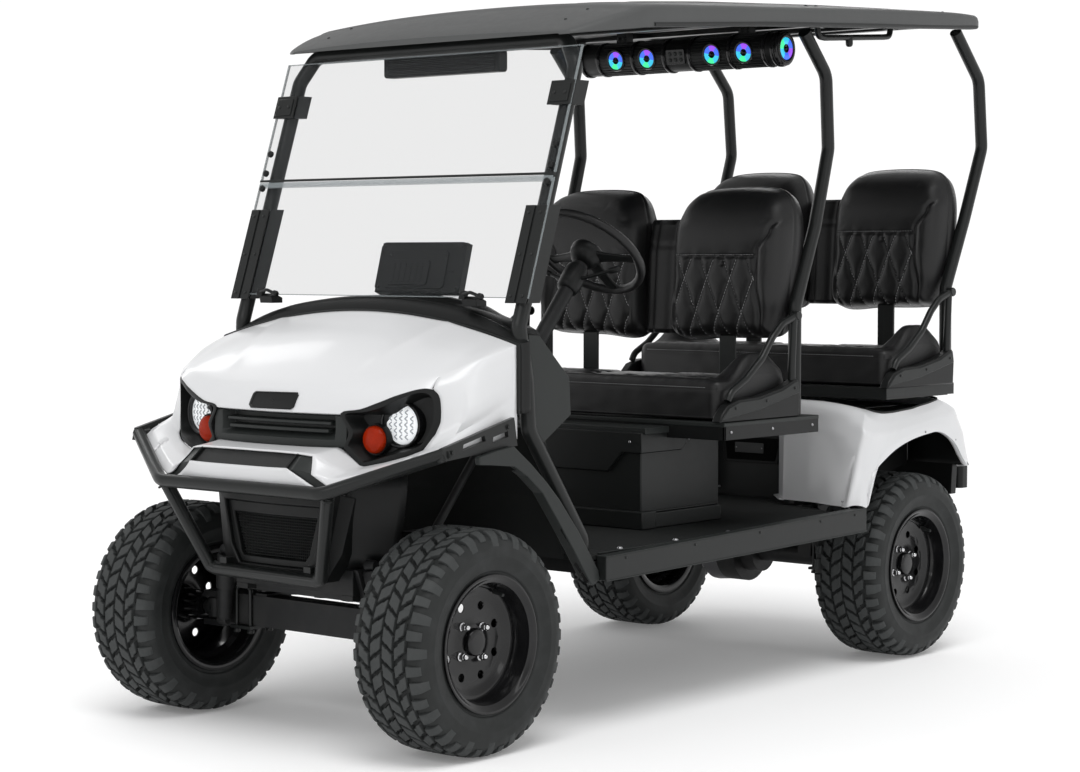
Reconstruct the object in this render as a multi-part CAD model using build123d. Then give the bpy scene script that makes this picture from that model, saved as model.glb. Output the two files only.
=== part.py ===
from build123d import *
import math
import os

# Four-seat lifted golf cart. Millimetres. +Z up, the cart's nose points to -Y,
# the driver sits on the +X side. Everything is first laid out from the front
# axle (x = 0 centreline, y = 0 front axle, z = 0 ground) and each piece is
# shifted by SHIFT_Y when it is written, so the finished cart is centred on Y.

# ---- driving dimensions ------------------------------------------------------
WHEELBASE = 1972.0
HALF_TRACK = 483.0
TYRE_R = 279.5            # 22 in tyre
TYRE_HALF_W = 116.5
BEAD_R = 152.4            # 12 in wheel
LIP_R = 170.0
KINGPIN_X = 395.0
KNUCKLE_ARM = 95.0        # kingpin to tie-rod ball joint
RAIL_X = 190.0            # centre of a ladder-frame rail
RAIL_Z = (372.0, 437.0)
FLOOR_Z = 455.0           # top of the floor
SILL_X = 592.0            # outer face of the rocker
SEAT_DY = 866.0           # rear bench behind front bench
SEAT_DZ = 60.0            # rear bench above front bench
BACK_DZ = 75.0
STRUT_X = 500.0           # windshield posts
MID_X = 468.0             # middle roof posts
REAR_X = 490.0            # rear roof posts
WHEEL_C = (280.0, 745.0, 1228.0)     # steering wheel centre
COLUMN_DEG = 49.0         # column slope above the horizontal
HITCH_HOLE_R = 5.25        # M10 clearance holes in the rear cross member
SHIFT_Y = -1103.0         # front-axle frame to the exported frame

os.makedirs("parts", exist_ok=True)


# ---- helpers -----------------------------------------------------------------
def box(x0, x1, y0, y1, z0, z1):
    return Solid.make_box(x1 - x0, y1 - y0, z1 - z0).moved(Location((x0, y0, z0)))


def prism_x(yz, x0, x1):
    """Polygon in the YZ plane, given as (y, z) rows, extruded from x0 to x1."""
    f = Face(Wire.make_polygon([Vector(x0, y, z) for y, z in yz], close=True))
    return Solid.extrude(f, Vector(x1 - x0, 0, 0))


def prism_y(xz, y0, y1):
    f = Face(Wire.make_polygon([Vector(x, y0, z) for x, z in xz], close=True))
    return Solid.extrude(f, Vector(0, y1 - y0, 0))


def prism_z(xy, z0, z1):
    f = Face(Wire.make_polygon([Vector(x, y, z0) for x, y in xy], close=True))
    return Solid.extrude(f, Vector(0, 0, z1 - z0))


def cyl(p0, p1, r):
    a, b = Vector(*p0), Vector(*p1)
    return Solid.make_cylinder(r, (b - a).length, Plane(origin=a, z_dir=(b - a)))


def tube(points, r, bend, inner=0.0):
    """Round bar or pipe along straight runs joined by tangent arcs."""
    path = FilletPolyline(*points, radius=bend) if len(points) > 2 else Line(*points)
    start = Plane(origin=path @ 0, z_dir=path % 0)
    s = sweep(start * Circle(r), path=path)
    if inner:
        s = s - sweep(start * Circle(inner), path=path)
    return s.solids()[0]


def square_tube(points, side, bend):
    path = FilletPolyline(*points, radius=bend)
    start = Plane(origin=path @ 0, x_dir=(1, 0, 0), z_dir=path % 0)
    return sweep(start * Rectangle(side, side), path=path).solids()[0]


def flip(s):
    return s.mirror(Plane.YZ)


def both(*solids):
    out = []
    for s in solids:
        out += [s, flip(s)]
    return out


def fuse(*solids):
    r = solids[0]
    for s in solids[1:]:
        r = r + s
    got = r.solids()
    return got[0] if len(got) == 1 else Compound(children=list(got))


def soften(s, r, pick=None):
    """Round edges; keeps the sharp solid if the radius does not fit."""
    try:
        es = s.edges() if pick is None else pick(s)
        return s.fillet(r, es)
    except Exception:
        return s


def write(name, *solids):
    flat = []
    for s in solids:
        flat += list(s.solids())
    moved = [s.moved(Location((0, SHIFT_Y, 0))) for s in flat]
    export_step(Compound(children=moved), f"parts/{name}.step")


def loft_xz(rows, grow=0.0):
    """Loft through XZ sections. Columns: y, half width, z bottom, z side top,
    z centre top. Each section is a floor line, two sides and one top arc."""
    secs = []
    for y, w, zb, zs, zc in rows:
        w, zb, zs, zc = w + grow, zb, zs + grow, zc + grow
        top = ThreePointArc((-w, y, zs), (0, y, zc), (w, y, zs))
        e = [Line((-w, y, zb), (w, y, zb)), Line((w, y, zb), (w, y, zs)), top,
             Line((-w, y, zs), (-w, y, zb))]
        secs.append(Face(Wire(e)))
    return Solid.make_loft([f.outer_wire() for f in secs], ruled=True)


# ---- ladder frame ------------------------------------------------------------
RAIL_HALF = 22.5
frame = []
for sx in (-1, 1):
    frame.append(box(sx * RAIL_X - RAIL_HALF, sx * RAIL_X + RAIL_HALF, -95, 2330, *RAIL_Z))
# cross members: y start, y end
for y0, y1 in ((-95, -55), (330, 370), (900, 950), (1470, 1520), (2290, 2330)):
    frame.append(box(-RAIL_X, RAIL_X, y0, y1, *RAIL_Z))
# outriggers that carry floor and rockers: y start, y end
for y0, y1 in ((430, 470), (1000, 1040), (1540, 1580)):
    for sx in (-1, 1):
        a, b = sorted((sx * RAIL_X, sx * 556))
        frame.append(box(a, b, y0, y1, 402, 437))
# nose hoop that carries cowl, lower grille and brush guard
for sx in (-1, 1):
    frame.append(box(sx * 150 - 15, sx * 150 + 15, -95, -70, 437, 700))
frame.append(box(-165, 165, -95, -70, 670, 700))
frame = fuse(*frame)
# accessory bolt holes through the rear cross member: x, z
for x, z in ((-120, 387), (120, 387), (-120, 423), (120, 423)):
    frame -= cyl((x, 2280, z), (x, 2340, z), HITCH_HOLE_R)
write("frame", frame)

# ---- front axle beam with kingpin yokes --------------------------------------
AXLE_Z = TYRE_R
beam = [box(-352, 352, -30, 30, AXLE_Z - 30, AXLE_Z + 50)]
for sx in (-1, 1):
    a, b = sorted((sx * 345, sx * 366))
    beam.append(box(a, b, -24, 24, AXLE_Z - 46, AXLE_Z + 50))
    a, b = sorted((sx * 360, sx * 420))
    for z0, z1 in ((30, 46), (-46, -30)):
        ear = box(a, b, -22, 22, AXLE_Z + z0, AXLE_Z + z1)
        ear -= cyl((sx * KINGPIN_X, 0, AXLE_Z + z0 - 5), (sx * KINGPIN_X, 0, AXLE_Z + z1 + 5), 9.4)
        beam.append(ear)
write("front_axle_beam", fuse(*beam))

# ---- knuckles: kingpin, barrel, spindle, steering arm, ball pin ---------------
for name, sx in (("knuckle_left", 1), ("knuckle_right", -1)):
    k = [cyl((sx * KINGPIN_X, 0, AXLE_Z - 46), (sx * KINGPIN_X, 0, AXLE_Z + 46), 9.0),
         cyl((sx * KINGPIN_X, 0, AXLE_Z - 25), (sx * KINGPIN_X, 0, AXLE_Z + 25), 20.0),
         cyl((sx * KINGPIN_X, 0, AXLE_Z), (sx * (HALF_TRACK + 20), 0, AXLE_Z), 14.0),
         cyl((sx * KINGPIN_X, 0, AXLE_Z), (sx * (KINGPIN_X + 22), 0, AXLE_Z), 24.0)]
    a, b = sorted((sx * KINGPIN_X - 8, sx * KINGPIN_X + 8))
    k.append(box(a, b, 10, KNUCKLE_ARM + 12, AXLE_Z - 24, AXLE_Z - 12))
    k.append(cyl((sx * KINGPIN_X, KNUCKLE_ARM, AXLE_Z - 24), (sx * KINGPIN_X, KNUCKLE_ARM, AXLE_Z + 10), 6.0))
    write(name, fuse(*k))

# ---- tie rod; its right eye has 0.4 mm of play round the ball pin -----------------
ROD_Z = AXLE_Z - 1
rod = fuse(cyl((-KINGPIN_X + 8, KNUCKLE_ARM, ROD_Z), (KINGPIN_X - 8, KNUCKLE_ARM, ROD_Z), 7.2),
           *[cyl((sx * KINGPIN_X, KNUCKLE_ARM, ROD_Z - 9), (sx * KINGPIN_X, KNUCKLE_ARM, ROD_Z + 9), 14.0) for sx in (-1, 1)])
rod -= cyl((KINGPIN_X, KNUCKLE_ARM, ROD_Z - 20), (KINGPIN_X, KNUCKLE_ARM, ROD_Z + 20), 6.4)
rod -= cyl((-KINGPIN_X, KNUCKLE_ARM, ROD_Z - 20), (-KINGPIN_X, KNUCKLE_ARM, ROD_Z + 20), 8.0)
write("tie_rod", rod)

# ---- rear axle, differential and drive motor ----------------------------------
rear = [cyl((-388, WHEELBASE, AXLE_Z), (388, WHEELBASE, AXLE_Z), 32),
        cyl((-222, WHEELBASE, AXLE_Z), (-160, WHEELBASE, AXLE_Z), 44),
        cyl((-164, WHEELBASE, AXLE_Z), (-40, WHEELBASE, AXLE_Z), 100),
        cyl((-45, WHEELBASE, AXLE_Z), (10, WHEELBASE, AXLE_Z), 66),
        cyl((-140, WHEELBASE + 118, AXLE_Z + 40), (80, WHEELBASE + 118, AXLE_Z + 40), 64),
        box(-130, -50, WHEELBASE, WHEELBASE + 118, AXLE_Z - 20, AXLE_Z + 60)]
for sx in (-1, 1):
    rear.append(box(sx * RAIL_X - 24, sx * RAIL_X + 24, WHEELBASE - 38, WHEELBASE + 38, AXLE_Z, 334))
    rear.append(cyl((sx * 380, WHEELBASE, AXLE_Z), (sx * 390, WHEELBASE, AXLE_Z), 88))
    rear.append(cyl((sx * 385, WHEELBASE, AXLE_Z), (sx * 470, WHEELBASE, AXLE_Z), 16))
write("rear_axle", fuse(*rear))


# ---- leaf springs --------------------------------------------------------------
def leaf(y0, yc, y1, z_end, z_mid, t, x0, x1):
    lo = ThreePointArc((x0, y0, z_end), (x0, yc, z_mid), (x0, y1, z_end))
    hi = ThreePointArc((x0, y0, z_end + t), (x0, yc, z_mid + t), (x0, y1, z_end + t))
    f = Face(Wire([lo, Line((x0, y1, z_end), (x0, y1, z_end + t)), hi,
                   Line((x0, y0, z_end + t), (x0, y0, z_end))]))
    return Solid.extrude(f, Vector(x1 - x0, 0, 0))


springs = []
# axle y, front reach, rear reach
for ya, f, r in ((90, 180, 180), (WHEELBASE, 250, 250)):
    for sx in (-1, 1):
        x0, x1 = sx * RAIL_X - 21, sx * RAIL_X + 21
        stack = [leaf(ya - f, ya, ya + r, 360, 344, 9, x0, x1),
                 leaf(ya - 0.6 * f, ya, ya + 0.6 * r, 341.5, 335.5, 9, x0, x1),
                 box(x0, x1, ya - f - 5, ya - f + 22, 358, 372),
                 box(x0, x1, ya + r - 22, ya + r + 5, 358, 372)]
        springs.append(fuse(*stack))
# pads that clamp the front beam under the springs
for sx in (-1, 1):
    springs.append(box(sx * RAIL_X - 21, sx * RAIL_X + 21, -28, 28, AXLE_Z + 50, 335.6))
merged = []
for sx in (-1, 1):
    mine = [s for s in springs if s.center().X * sx > 0]
    fr = [s for s in mine if s.center().Y < 800]
    merged.append(fuse(*fr))
    merged += [s for s in mine if s.center().Y >= 800]
write("leaf_springs", *merged)

# ---- wheels and tyres ----------------------------------------------------------


def ring_x(ur, cx, cy, side):
    """Revolve a closed (u, r) polygon about the wheel axis; u grows outboard."""
    pts = [Vector(cx + side * u, cy, AXLE_Z + r) for u, r in ur]
    f = Face(Wire.make_polygon(pts, close=True))
    return Solid.revolve(f, 360, Axis((cx, cy, AXLE_Z), (1, 0, 0)))


# tyre section: u (outboard), r
TYRE_UR = [(-96.5, BEAD_R + 0.5), (-97.5, LIP_R + 2), (-107, 178), (-114, 205), (-116.5, 228), (-112, 252), (-100, 270), (-80, 277.5), (-40, TYRE_R), (40, TYRE_R), (80, 277.5), (100, 270), (112, 252), (116.5, 228), (114, 205), (107, 178), (97.5, LIP_R + 2), (96.5, BEAD_R + 0.5)]
WHEELS = (("front_left", 1, 0.0), ("front_right", -1, 0.0), ("rear_left", 1, WHEELBASE), ("rear_right", -1, WHEELBASE))
for name, sx, y in WHEELS:
    cx = sx * HALF_TRACK
    write("tyre_" + name, ring_x(TYRE_UR, cx, y, sx))
    # lips, bead seats, drop centre, dish, disc and hub in one section: u, r
    rim = ring_x([(-104, 147), (-104, LIP_R), (-99, LIP_R), (-98, BEAD_R), (-62, 148), (-52, 131), (-12, 131), (4, 147),
                  (98, BEAD_R), (99, LIP_R), (105, LIP_R), (106, 160), (98, 147), (62, 145), (54, 128), (42, 100),
                  (38, 60), (44, 36), (58, 34), (62, 30), (62, 0), (22, 0), (22, 18.4), (-52, 18.4), (-52, 38), (26, 42),
                  (30, 60), (34, 104), (46, 132), (50, 143), (10, 141), (2, 138), (-10, 126), (-54, 126), (-66, 143)], cx, y, sx)
    for i in range(8):
        a = math.radians(22.5 + 45 * i)
        c = (y + 92 * math.cos(a), AXLE_Z + 92 * math.sin(a))
        rim -= cyl((cx + sx * 20, *c), (cx + sx * 60, *c), 11)
    if y > 0:
        rim = rim + ring_x([(-86, 78), (-86, 86), (-20, 86), (-12, 78), (-12, 34), (-22, 34), (-22, 78)], cx, y, sx)
    write("rim_" + name, rim)

# ---- floor, toe board and rockers ------------------------------------------------
floor = box(-556, 556, 400, 1590, FLOOR_Z - 15, FLOOR_Z)
# rear floor, narrowing between the wheel housings: x, y
REAR_FLOOR = [(554, 1590), (453, 1681), (348, 1755), (222, 1755), (142, 1846), (142, 1924.5)]
floor += prism_z(REAR_FLOOR + [(-x, y) for x, y in reversed(REAR_FLOOR)], FLOOR_Z - 15, FLOOR_Z)
toe = prism_x([(400, 440), (412, 455), (350, 610), (330, 780), (318, 780), (338, 605)], -480, 480)
write("floor_pan", fuse(floor, toe))
rockers = []
for s in (prism_x([(438, 388), (438, 450), (1662, 477), (1662, 410)], 559, SILL_X),):
    rockers += both(s)
FOOT = [(518, 428, 455.4), (518, 428, 492), (518, 219, 785), (515, 214, 900)]
write("rocker_panels", *rockers)

# ---- front seat base (hollow pedestal and seat deck) and battery --------------------
PED_X, PED_Y = 312.0, (942.0, 1310.0)
prof = [(942, 455.3), (1310, 455.3), (1310, 737), (1060, 737), (942, 725)]
ped = prism_x(prof, -PED_X, PED_X)
ped -= prism_x([(954, 467), (1298, 467), (1298, 737), (954, 737)], -PED_X + 12, PED_X - 12)
deck = box(-520, 520, 1050, 1512, 708, 757) - box(-512, 512, 1058, 1504, 708, 737) - box(-280, 280, 1100, 1400, 737, 757)
# flat bars that carry the seat backs: bench dy, deck z, underside of the backs
BARS = ((0, 757, 984.8), (SEAT_DY, 817, 984.8 + BACK_DZ))


def bars(dy, zd, zt):
    return both(box(229, 287, 1423 + dy, 1431 + dy, zd - 5, zt))


write("front_seat_base", fuse(ped, deck, *bars(*BARS[0])))
write("battery_pack", box(-240, 240, 975, 1275, 467.2, 690))

# ---- rear seat base (front wall and plinth) ------------------------------------------
wall = box(-139, 139, 1925, 1950, FLOOR_Z - 15, 781)
plinth = box(-505, 505, 1905, 2262, 782, 817) + box(-487, 487, 2262, 2288, 782, 817) + box(-487, -449, 2280, 2330, 782, 816.9) + box(449, 487, 2280, 2330, 782, 816.9)
plinth -= box(-430, 430, 1960, 2240, 782, 817)
plinth += box(-300, 300, 2230, 2262, 782, 817) + box(-300, 300, 2262, 2300, 782, 817)
write("rear_seat_base", fuse(wall + box(-139, 139, 1925, 1950, 781, 782), plinth, *bars(*BARS[1])))

# ---- rear body: wheel housings, tops, arches ---------------------------------------------
ARCH_C, ARCH_R = (2020.0, 300.0), 370.0
outer = box(-590, 590, 1600, 2290, 480, 780)
outer = soften(outer, 100, lambda s: s.edges().filter_by(Axis.Z).sort_by(Axis.Y)[2:])
outer = soften(outer, 30, lambda s: s.edges().filter_by(Axis.Z).sort_by(Axis.Y)[:2])
outer = soften(outer, 38, lambda s: s.faces().sort_by(Axis.Z)[-1].edges())
# the housings' front walls sweep forward from the footwell to the sill: x, y
HOUSING = [(556, 1600), (455, 1690), (351, 1765), (228, 1765), (150, 1851), (150, 1953)]
body = outer - prism_z([(600, 1500), (600, 1600), *HOUSING, *[(-x, y) for x, y in reversed(HOUSING)], (-600, 1600), (-600, 1500)], 400, 900)
body -= box(-170, 170, 1953, 2266, 400, 752)
for sx in (-1, 1):
    for bay in (((164, 1861), (236, 1779), (347, 1779), (347, 2266), (164, 2266)), ((358, 1777), (462, 1703), (562, 1620), (562, 2266), (358, 2266))):
        body -= prism_z([(sx * x, y) for x, y in bay], 400, 752)
    a, b = sorted((sx * 561, sx * 640))
    body -= cyl((a, *ARCH_C), (b, *ARCH_C), ARCH_R)
    body -= box(a, b, 1700, 2400, 400, 500)
    a, b = sorted((sx * 340, sx * 640))
    body -= box(a, b, 1955, 2400, 400, 500)
body = [s for s in body.solids()]
body.sort(key=lambda s: -s.volume)
write("rear_body", body[0])
bumper = soften(box(-500, 500, 2355, 2410, 480, 550), 18, lambda s: s.edges().filter_by(Axis.Z))
for sx in (-1, 1):
    a, b = sorted((sx * 172, sx * 208))
    bumper += box(a, b, 2295, 2330, 437.2, 520) + box(a, b, 2295, 2360, 490, 535)
write("rear_bumper", bumper)
tail_lamps = both(soften(box(360, 470, 2290.4, 2306, 640, 690), 6, lambda s: s.edges().filter_by(Axis.Y)))

# ---- benches: cushions, backs, brackets, hip restraints --------------------------------------


def cushion(dy, dz, z0):
    c = box(-479, 479, 1076 + dy, 1416 + dy, z0, 872 + dz)
    c = soften(c, 28, lambda s: s.faces().sort_by(Axis.Z)[-1].edges())
    return soften(c, 14, lambda s: s.edges().filter_by(Axis.Z))


def bolsters(dy, dz):
    # raised ends of a bench cushion beside the hip restraints: y, z
    yz = [(1150, 872), (1196, 905), (1240, 928), (1290, 936), (1350, 922), (1386, 900), (1386, 872)]
    return both(prism_x([(y + dy, z + dz) for y, z in yz], 396, 450))


def seat_backs(dy, dz):
    # one back outline: x, z
    out = [(68, 985), (410, 985), (438, 1040), (460, 1180), (458, 1330), (425, 1400), (370, 1415), (160, 1415), (105, 1390), (68, 1320)]
    side = [(1392, 985), (1508, 985), (1530, 1200), (1545, 1415), (1440, 1415), (1398, 1300), (1388, 1180)]
    b = []
    for sx in (1, -1):
        o = prism_y([(sx * x, z + dz) for x, z in out], 1370 + dy, 1560 + dy)
        b.append(o.intersect(prism_x([(y + dy, z + dz) for y, z in side], -600, 600)))
    pad = prism_x([(1440 + dy, 985 + dz), (1508 + dy, 985 + dz), (1530 + dy, 1200 + dz), (1538 + dy, 1330 + dz), (1450 + dy, 1330 + dz)], -68, 68)
    solids = []
    for p in b:
        solids += list(p.solids()) if hasattr(p, "solids") else list(p)
    return fuse(*solids, pad)


write("front_seat_cushion", cushion(0, 0, 762), *bolsters(0, 0))
write("rear_seat_cushion", cushion(SEAT_DY, SEAT_DZ, 817.3), *bolsters(SEAT_DY, SEAT_DZ))


hips = []
# bench: dy, base z, dz
for dy, zb, dz in ((0, 757, 0), (SEAT_DY - 8, 817, SEAT_DZ - 5)):
    outer_yz = [(1066, zb), (1424, zb), (1424, 1010 + dz), (1445, 1018 + dz), (1445, 1056 + dz), (1410, 1056 + dz), (1345, 1002 + dz), (1240, 930 + dz), (1068, 828 + dz)]
    inner_yz = [(1145, 838 + dz), (1340, 843 + dz), (1392, 862 + dz), (1398, 985 + dz), (1345, 955 + dz), (1243, 892 + dz)]
    loop = prism_x([(y + dy, z) for y, z in outer_yz], 488, 516) - prism_x([(y + dy, z) for y, z in inner_yz], 480, 530)
    hips += both(loop)
write("hip_restraints", *hips)

# ---- roof posts -------------------------------------------------------------------------------------
# points of one post: x, y, z
MID = [(MID_X, 1466, 757), (MID_X, 1466, 1070), (MID_X, 1566, 1300), (MID_X, 1634, 1530), (MID_X, 1620, 1745), (MID_X, 1506, 1862)]
REAR = [(468, 2308, 817), (468, 2306, 1115), (482, 2392, 1330), (REAR_X, 2484, 1560), (REAR_X, 2462, 1775), (REAR_X, 2316, 1918)]
mid_post, rear_post = tube(MID, 19.0, 60), tube(REAR, 19.0, 60)
for nm, dy, dz, post in (("front_seat_backs", 0, 0, tube(MID, 24.0, 60)), ("rear_seat_backs", SEAT_DY, BACK_DZ, tube(REAR, 24.0, 60))):
    bk = seat_backs(dy, dz) - post - flip(post)
    write(nm, sorted(bk.solids(), key=lambda q: -q.volume)[0])

A_DY = (395 - 200) / (1610 - 1030)      # lean of the windshield posts, y per z


def strut_y(z):
    return 200 + (z - 1030) * A_DY


# one bent tube: left foot, up the post, over the header and down to the right foot
half = FOOT + [(STRUT_X, strut_y(1040), 1040), (STRUT_X, strut_y(1700), 1700), (455, 448, 1772)]
header = tube(half + [(-x, y, z) for x, y, z in reversed(half)], 20.0, 38)
extra = []
# windshield sleeves and clamps: z start, z end, half width
for z0, z1, hw in ((1100, 1345, 30), (1600, 1662, 34)):
    for sx in (-1, 1):
        yz = [(strut_y(z0) - 23, z0), (strut_y(z0) + 26, z0), (strut_y(z1) + 26, z1), (strut_y(z1) - 23, z1)]
        extra.append(prism_x(yz, sx * STRUT_X - hw, sx * STRUT_X + hw))
write("front_struts", fuse(header, *extra))

# ---- windshield: two panes with a fold between --------------------------------------------------------
panes = []
for z0, z1 in ((1112, 1415), (1424, 1752)):
    yz = [(strut_y(z0) - 30, z0), (strut_y(z0) - 24, z0), (strut_y(z1) - 24, z1), (strut_y(z1) - 30, z1)]
    panes.append(prism_x(yz, -532, 532))
write("windshield", *panes)

# ---- roof -------------------------------------------------------------------------------------------------
# y, half width, z bottom, z side top, z centre top
ROOF = [(385, 540, 1778, 1786, 1800), (620, 588, 1806, 1864, 1890), (1150, 592, 1846, 1898, 1940), (1700, 592, 1880, 1934, 1972), (2300, 580, 1918, 1966, 1996), (2352, 545, 1935, 1958, 1984)]
roof = loft_xz(ROOF)
cut = loft_xz([(430, 520, 1740, 1783, 1800), (640, 562, 1760, 1852, 1878), (1150, 566, 1800, 1886, 1928), (1700, 566, 1800, 1922, 1960), (2296, 552, 1850, 1952, 1980)])
roof = (roof - cut).solids()[0]
write("roof", roof)
rear_post = rear_post - box(-600, 600, 2250, 2340, 780, 817.2)
mid_post = sorted((mid_post - roof).solids(), key=lambda q: -q.volume)[0]
rear_post = sorted((rear_post - roof).solids(), key=lambda q: -q.volume)[0]
write("roof_posts", *both(mid_post, rear_post))

# ---- sound bar, mirror, display -------------------------------------------------------------------------------
bar = cyl((-366, 1556, 1824), (366, 1556, 1824), 49)
bar += box(-250, -210, 1540, 1572, 1860, 1912)
bar += box(210, 250, 1540, 1572, 1860, 1912)
write("sound_bar", bar)
mirror = soften(box(-222, 200, 476, 506, 1704, 1762), 10, lambda s: s.edges().filter_by(Axis.Y))
for sx in (-1, 1):
    mirror += box(sx * 130 - 8, sx * 130 + 8, 484, 498, 1755, 1796)
write("rear_view_mirror", mirror)

# ---- front cowl ---------------------------------------------------------------------------------------------------
# plan outline of the nose as an extrusion, cut by a lofted dome
plan = Wire([Line((-530, 185, 640), (530, 185, 640)), Line((530, 185, 640), (526, 60, 640)),
             ThreePointArc((526, 60, 640), (462, -75, 640), (330, -140, 640)), ThreePointArc((330, -140, 640), (0, -180, 640), (-330, -140, 640)),
             ThreePointArc((-330, -140, 640), (-462, -75, 640), (-526, 60, 640)), Line((-526, 60, 640), (-530, 185, 640))])
nose = Solid.extrude(Face(plan), Vector(0, 0, 520))
inner_plan = Wire([Line((-514, 190, 630), (514, 190, 630)), Line((514, 190, 630), (510, 64, 630)),
                   ThreePointArc((510, 64, 630), (448, -62, 630), (322, -125, 630)), ThreePointArc((322, -125, 630), (0, -164, 630), (-322, -125, 630)),
                   ThreePointArc((-322, -125, 630), (-448, -62, 630), (-510, 64, 630)), Line((-510, 64, 630), (-514, 190, 630))])
nose_in = Solid.extrude(Face(inner_plan), Vector(0, 0, 540))
# y, half width, z bottom, z side top, z centre top
DOME = [(-200, 560, 600, 712, 822), (-60, 560, 600, 842, 950), (60, 560, 600, 935, 1040), (190, 560, 600, 992, 1113)]
dome = loft_xz(DOME)
dome_in = loft_xz([(y - 1 if y < 0 else y + 5, w - 10, zb - 10, zs - 15, zc - 15) for y, w, zb, zs, zc in DOME])
cowl = nose.intersect(dome)
cowl_in = nose_in.intersect(dome_in)
cowl = (cowl.solids()[0] if hasattr(cowl, "solids") else cowl[0]) - (cowl_in.solids()[0] if hasattr(cowl_in, "solids") else cowl_in[0])
# wheel arch edge of the cowl side, and grille recess
for sx in (-1, 1):
    a, b = sorted((sx * 400, sx * 600))
    cowl -= prism_x([(-200, 600), (200, 600), (200, 848), (130, 838), (60, 760), (-20, 715), (-200, 680)], a, b)
cowl -= box(-246, 246, -220, -100, 750, 828)
cow = sorted(cowl.solids(), key=lambda s: -s.volume)[0]
for sx in (-1, 1):
    c = (sx * 374, -60, 805)
    cow = cow - cyl((c[0], -200, c[2]), (c[0], 10, c[2]), 62)
    cow = cow - cyl((sx * 292, -200, 768), (sx * 292, 0, 768), 50)
leg = tube(FOOT + [(STRUT_X, 203, 1040)], 24.0, 38)
cow = sorted((cow - leg - flip(leg)).solids(), key=lambda s: -s.volume)[0]
write("front_cowl", cow)
grille = box(-240, 240, -150, -120, 756, 822)
for z0, z1 in ((766, 784), (794, 812)):
    grille -= box(-215, 215, -160, -132, z0, z1)
write("grille_panel", grille)
lamps = []
for sx in (-1, 1):
    lamps.append(cyl((sx * 374, -76, 805), (sx * 374, -30, 805), 55))
write("headlights", *lamps)
write("signal_lamps", *tail_lamps, *[cyl((sx * 290, -112, 766), (sx * 290, -80, 766), 30) for sx in (-1, 1)])

# ---- lower grille and brush guard ------------------------------------------------------------------------------------
lg = prism_y([(-215, 620), (215, 620), (190, 480), (150, 410), (-150, 410), (-190, 480)], -165, -100)
lg -= prism_y([(-196, 606), (196, 606), (172, 484), (138, 426), (-138, 426), (-172, 484)], -140, -90)
lg -= prism_y([(-150, 570), (150, 570), (118, 462), (-118, 462)], -170, -150)
write("lower_grille", lg)
guard = [tube([(-552, -128, 745), (-290, -281, 646), (290, -281, 646), (552, -128, 745)], 17, 70),
         tube([(-292, -262, 640), (-200, -193, 425), (-180, -191, 419), (180, -191, 419), (200, -193, 425), (292, -262, 640)], 17, 9)]
for sx in (-1, 1):
    a, b = sorted((sx * 545, sx * 557))
    guard.append(prism_x([(-148, 728), (-140, 760), (120, 822), (132, 752)], a, b)
                 - prism_x([(-70, 752), (-66, 766), (10, 784), (14, 770)], a - 5, b + 5)
                 - prism_x([(40, 762), (42, 778), (96, 790), (98, 776)], a - 5, b + 5))
    a, b = sorted((sx * 140, sx * 164))
    guard.append(box(a, b, -195, -98, 455, 480))
guard[1] = guard[1] + fuse(*[box(min(sx * 140, sx * 164), max(sx * 140, sx * 164), -195, -165.3, 425, 450) for sx in (-1, 1)])
write("brush_guard", fuse(guard[0], guard[1], guard[2], guard[4]))

# ---- front wheel-arch flares ---------------------------------------------------------------------------------------------
flare = prism_x([(-27, 734), (34, 745), (101, 753), (122, 737), (165, 706), (224, 657), (273, 611), (350, 523), (430, 416), (436, 394), (407, 378), (396, 387), (328, 479), (262, 563), (208, 630), (149, 676), (101, 703), (13, 712), (-27, 715)], 540, 574)
flare = flare - box(500, 557.8, -200, 140, 690, 830) - box(530, 557.5, 390, 450, 370, 470)
flare = sorted(flare.solids(), key=lambda q: -q.volume)[0]
write("front_fender_flares", *both(flare))

# ---- dashboard, leg shields, column, pedals -----------------------------------------------------------------------------------
dash = prism_x([(196, 880), (196, 1096), (240, 1112), (330, 1070), (398, 985), (404, 900), (392, 790), (345, 782), (345, 800), (380, 806), (388, 900), (382, 978), (322, 1052), (236, 1092), (216, 1080), (216, 880)], -466, 466)
shield = prism_x([(246, 1020), (290, 1016), (406, 908), (412, 812), (296, 742), (262, 800)], 482, 496)
write("leg_shields", *both(shield))
d = Vector(0, math.cos(math.radians(COLUMN_DEG)), math.sin(math.radians(COLUMN_DEG)))
C = Vector(*WHEEL_C)


def along(t):
    p = C + d * t
    return (p.X, p.Y, p.Z)


wheel_plane = Plane(origin=C, x_dir=(1, 0, 0), z_dir=d)
wheel = Solid.make_torus(158, 13, wheel_plane)
wheel += cyl(along(-40), along(6), 46)
for a in (12, 168, 90):
    p = wheel_plane * Location((0, 0, -14), (0, 0, a)) * Location((98, 0, 0))
    wheel += Solid.make_box(116, 26, 10).moved(Location((-58, -13, -5))).moved(p)
write("steering_wheel", wheel)
col = cyl(along(-46), along(-470), 21)
col += cyl(along(-460), along(-950), 11)
col += prism_z([(213, 80), (300, 80), (284, 112), (262, 150), (213, 150)], 402, 520)
write("steering_column", col)
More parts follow.
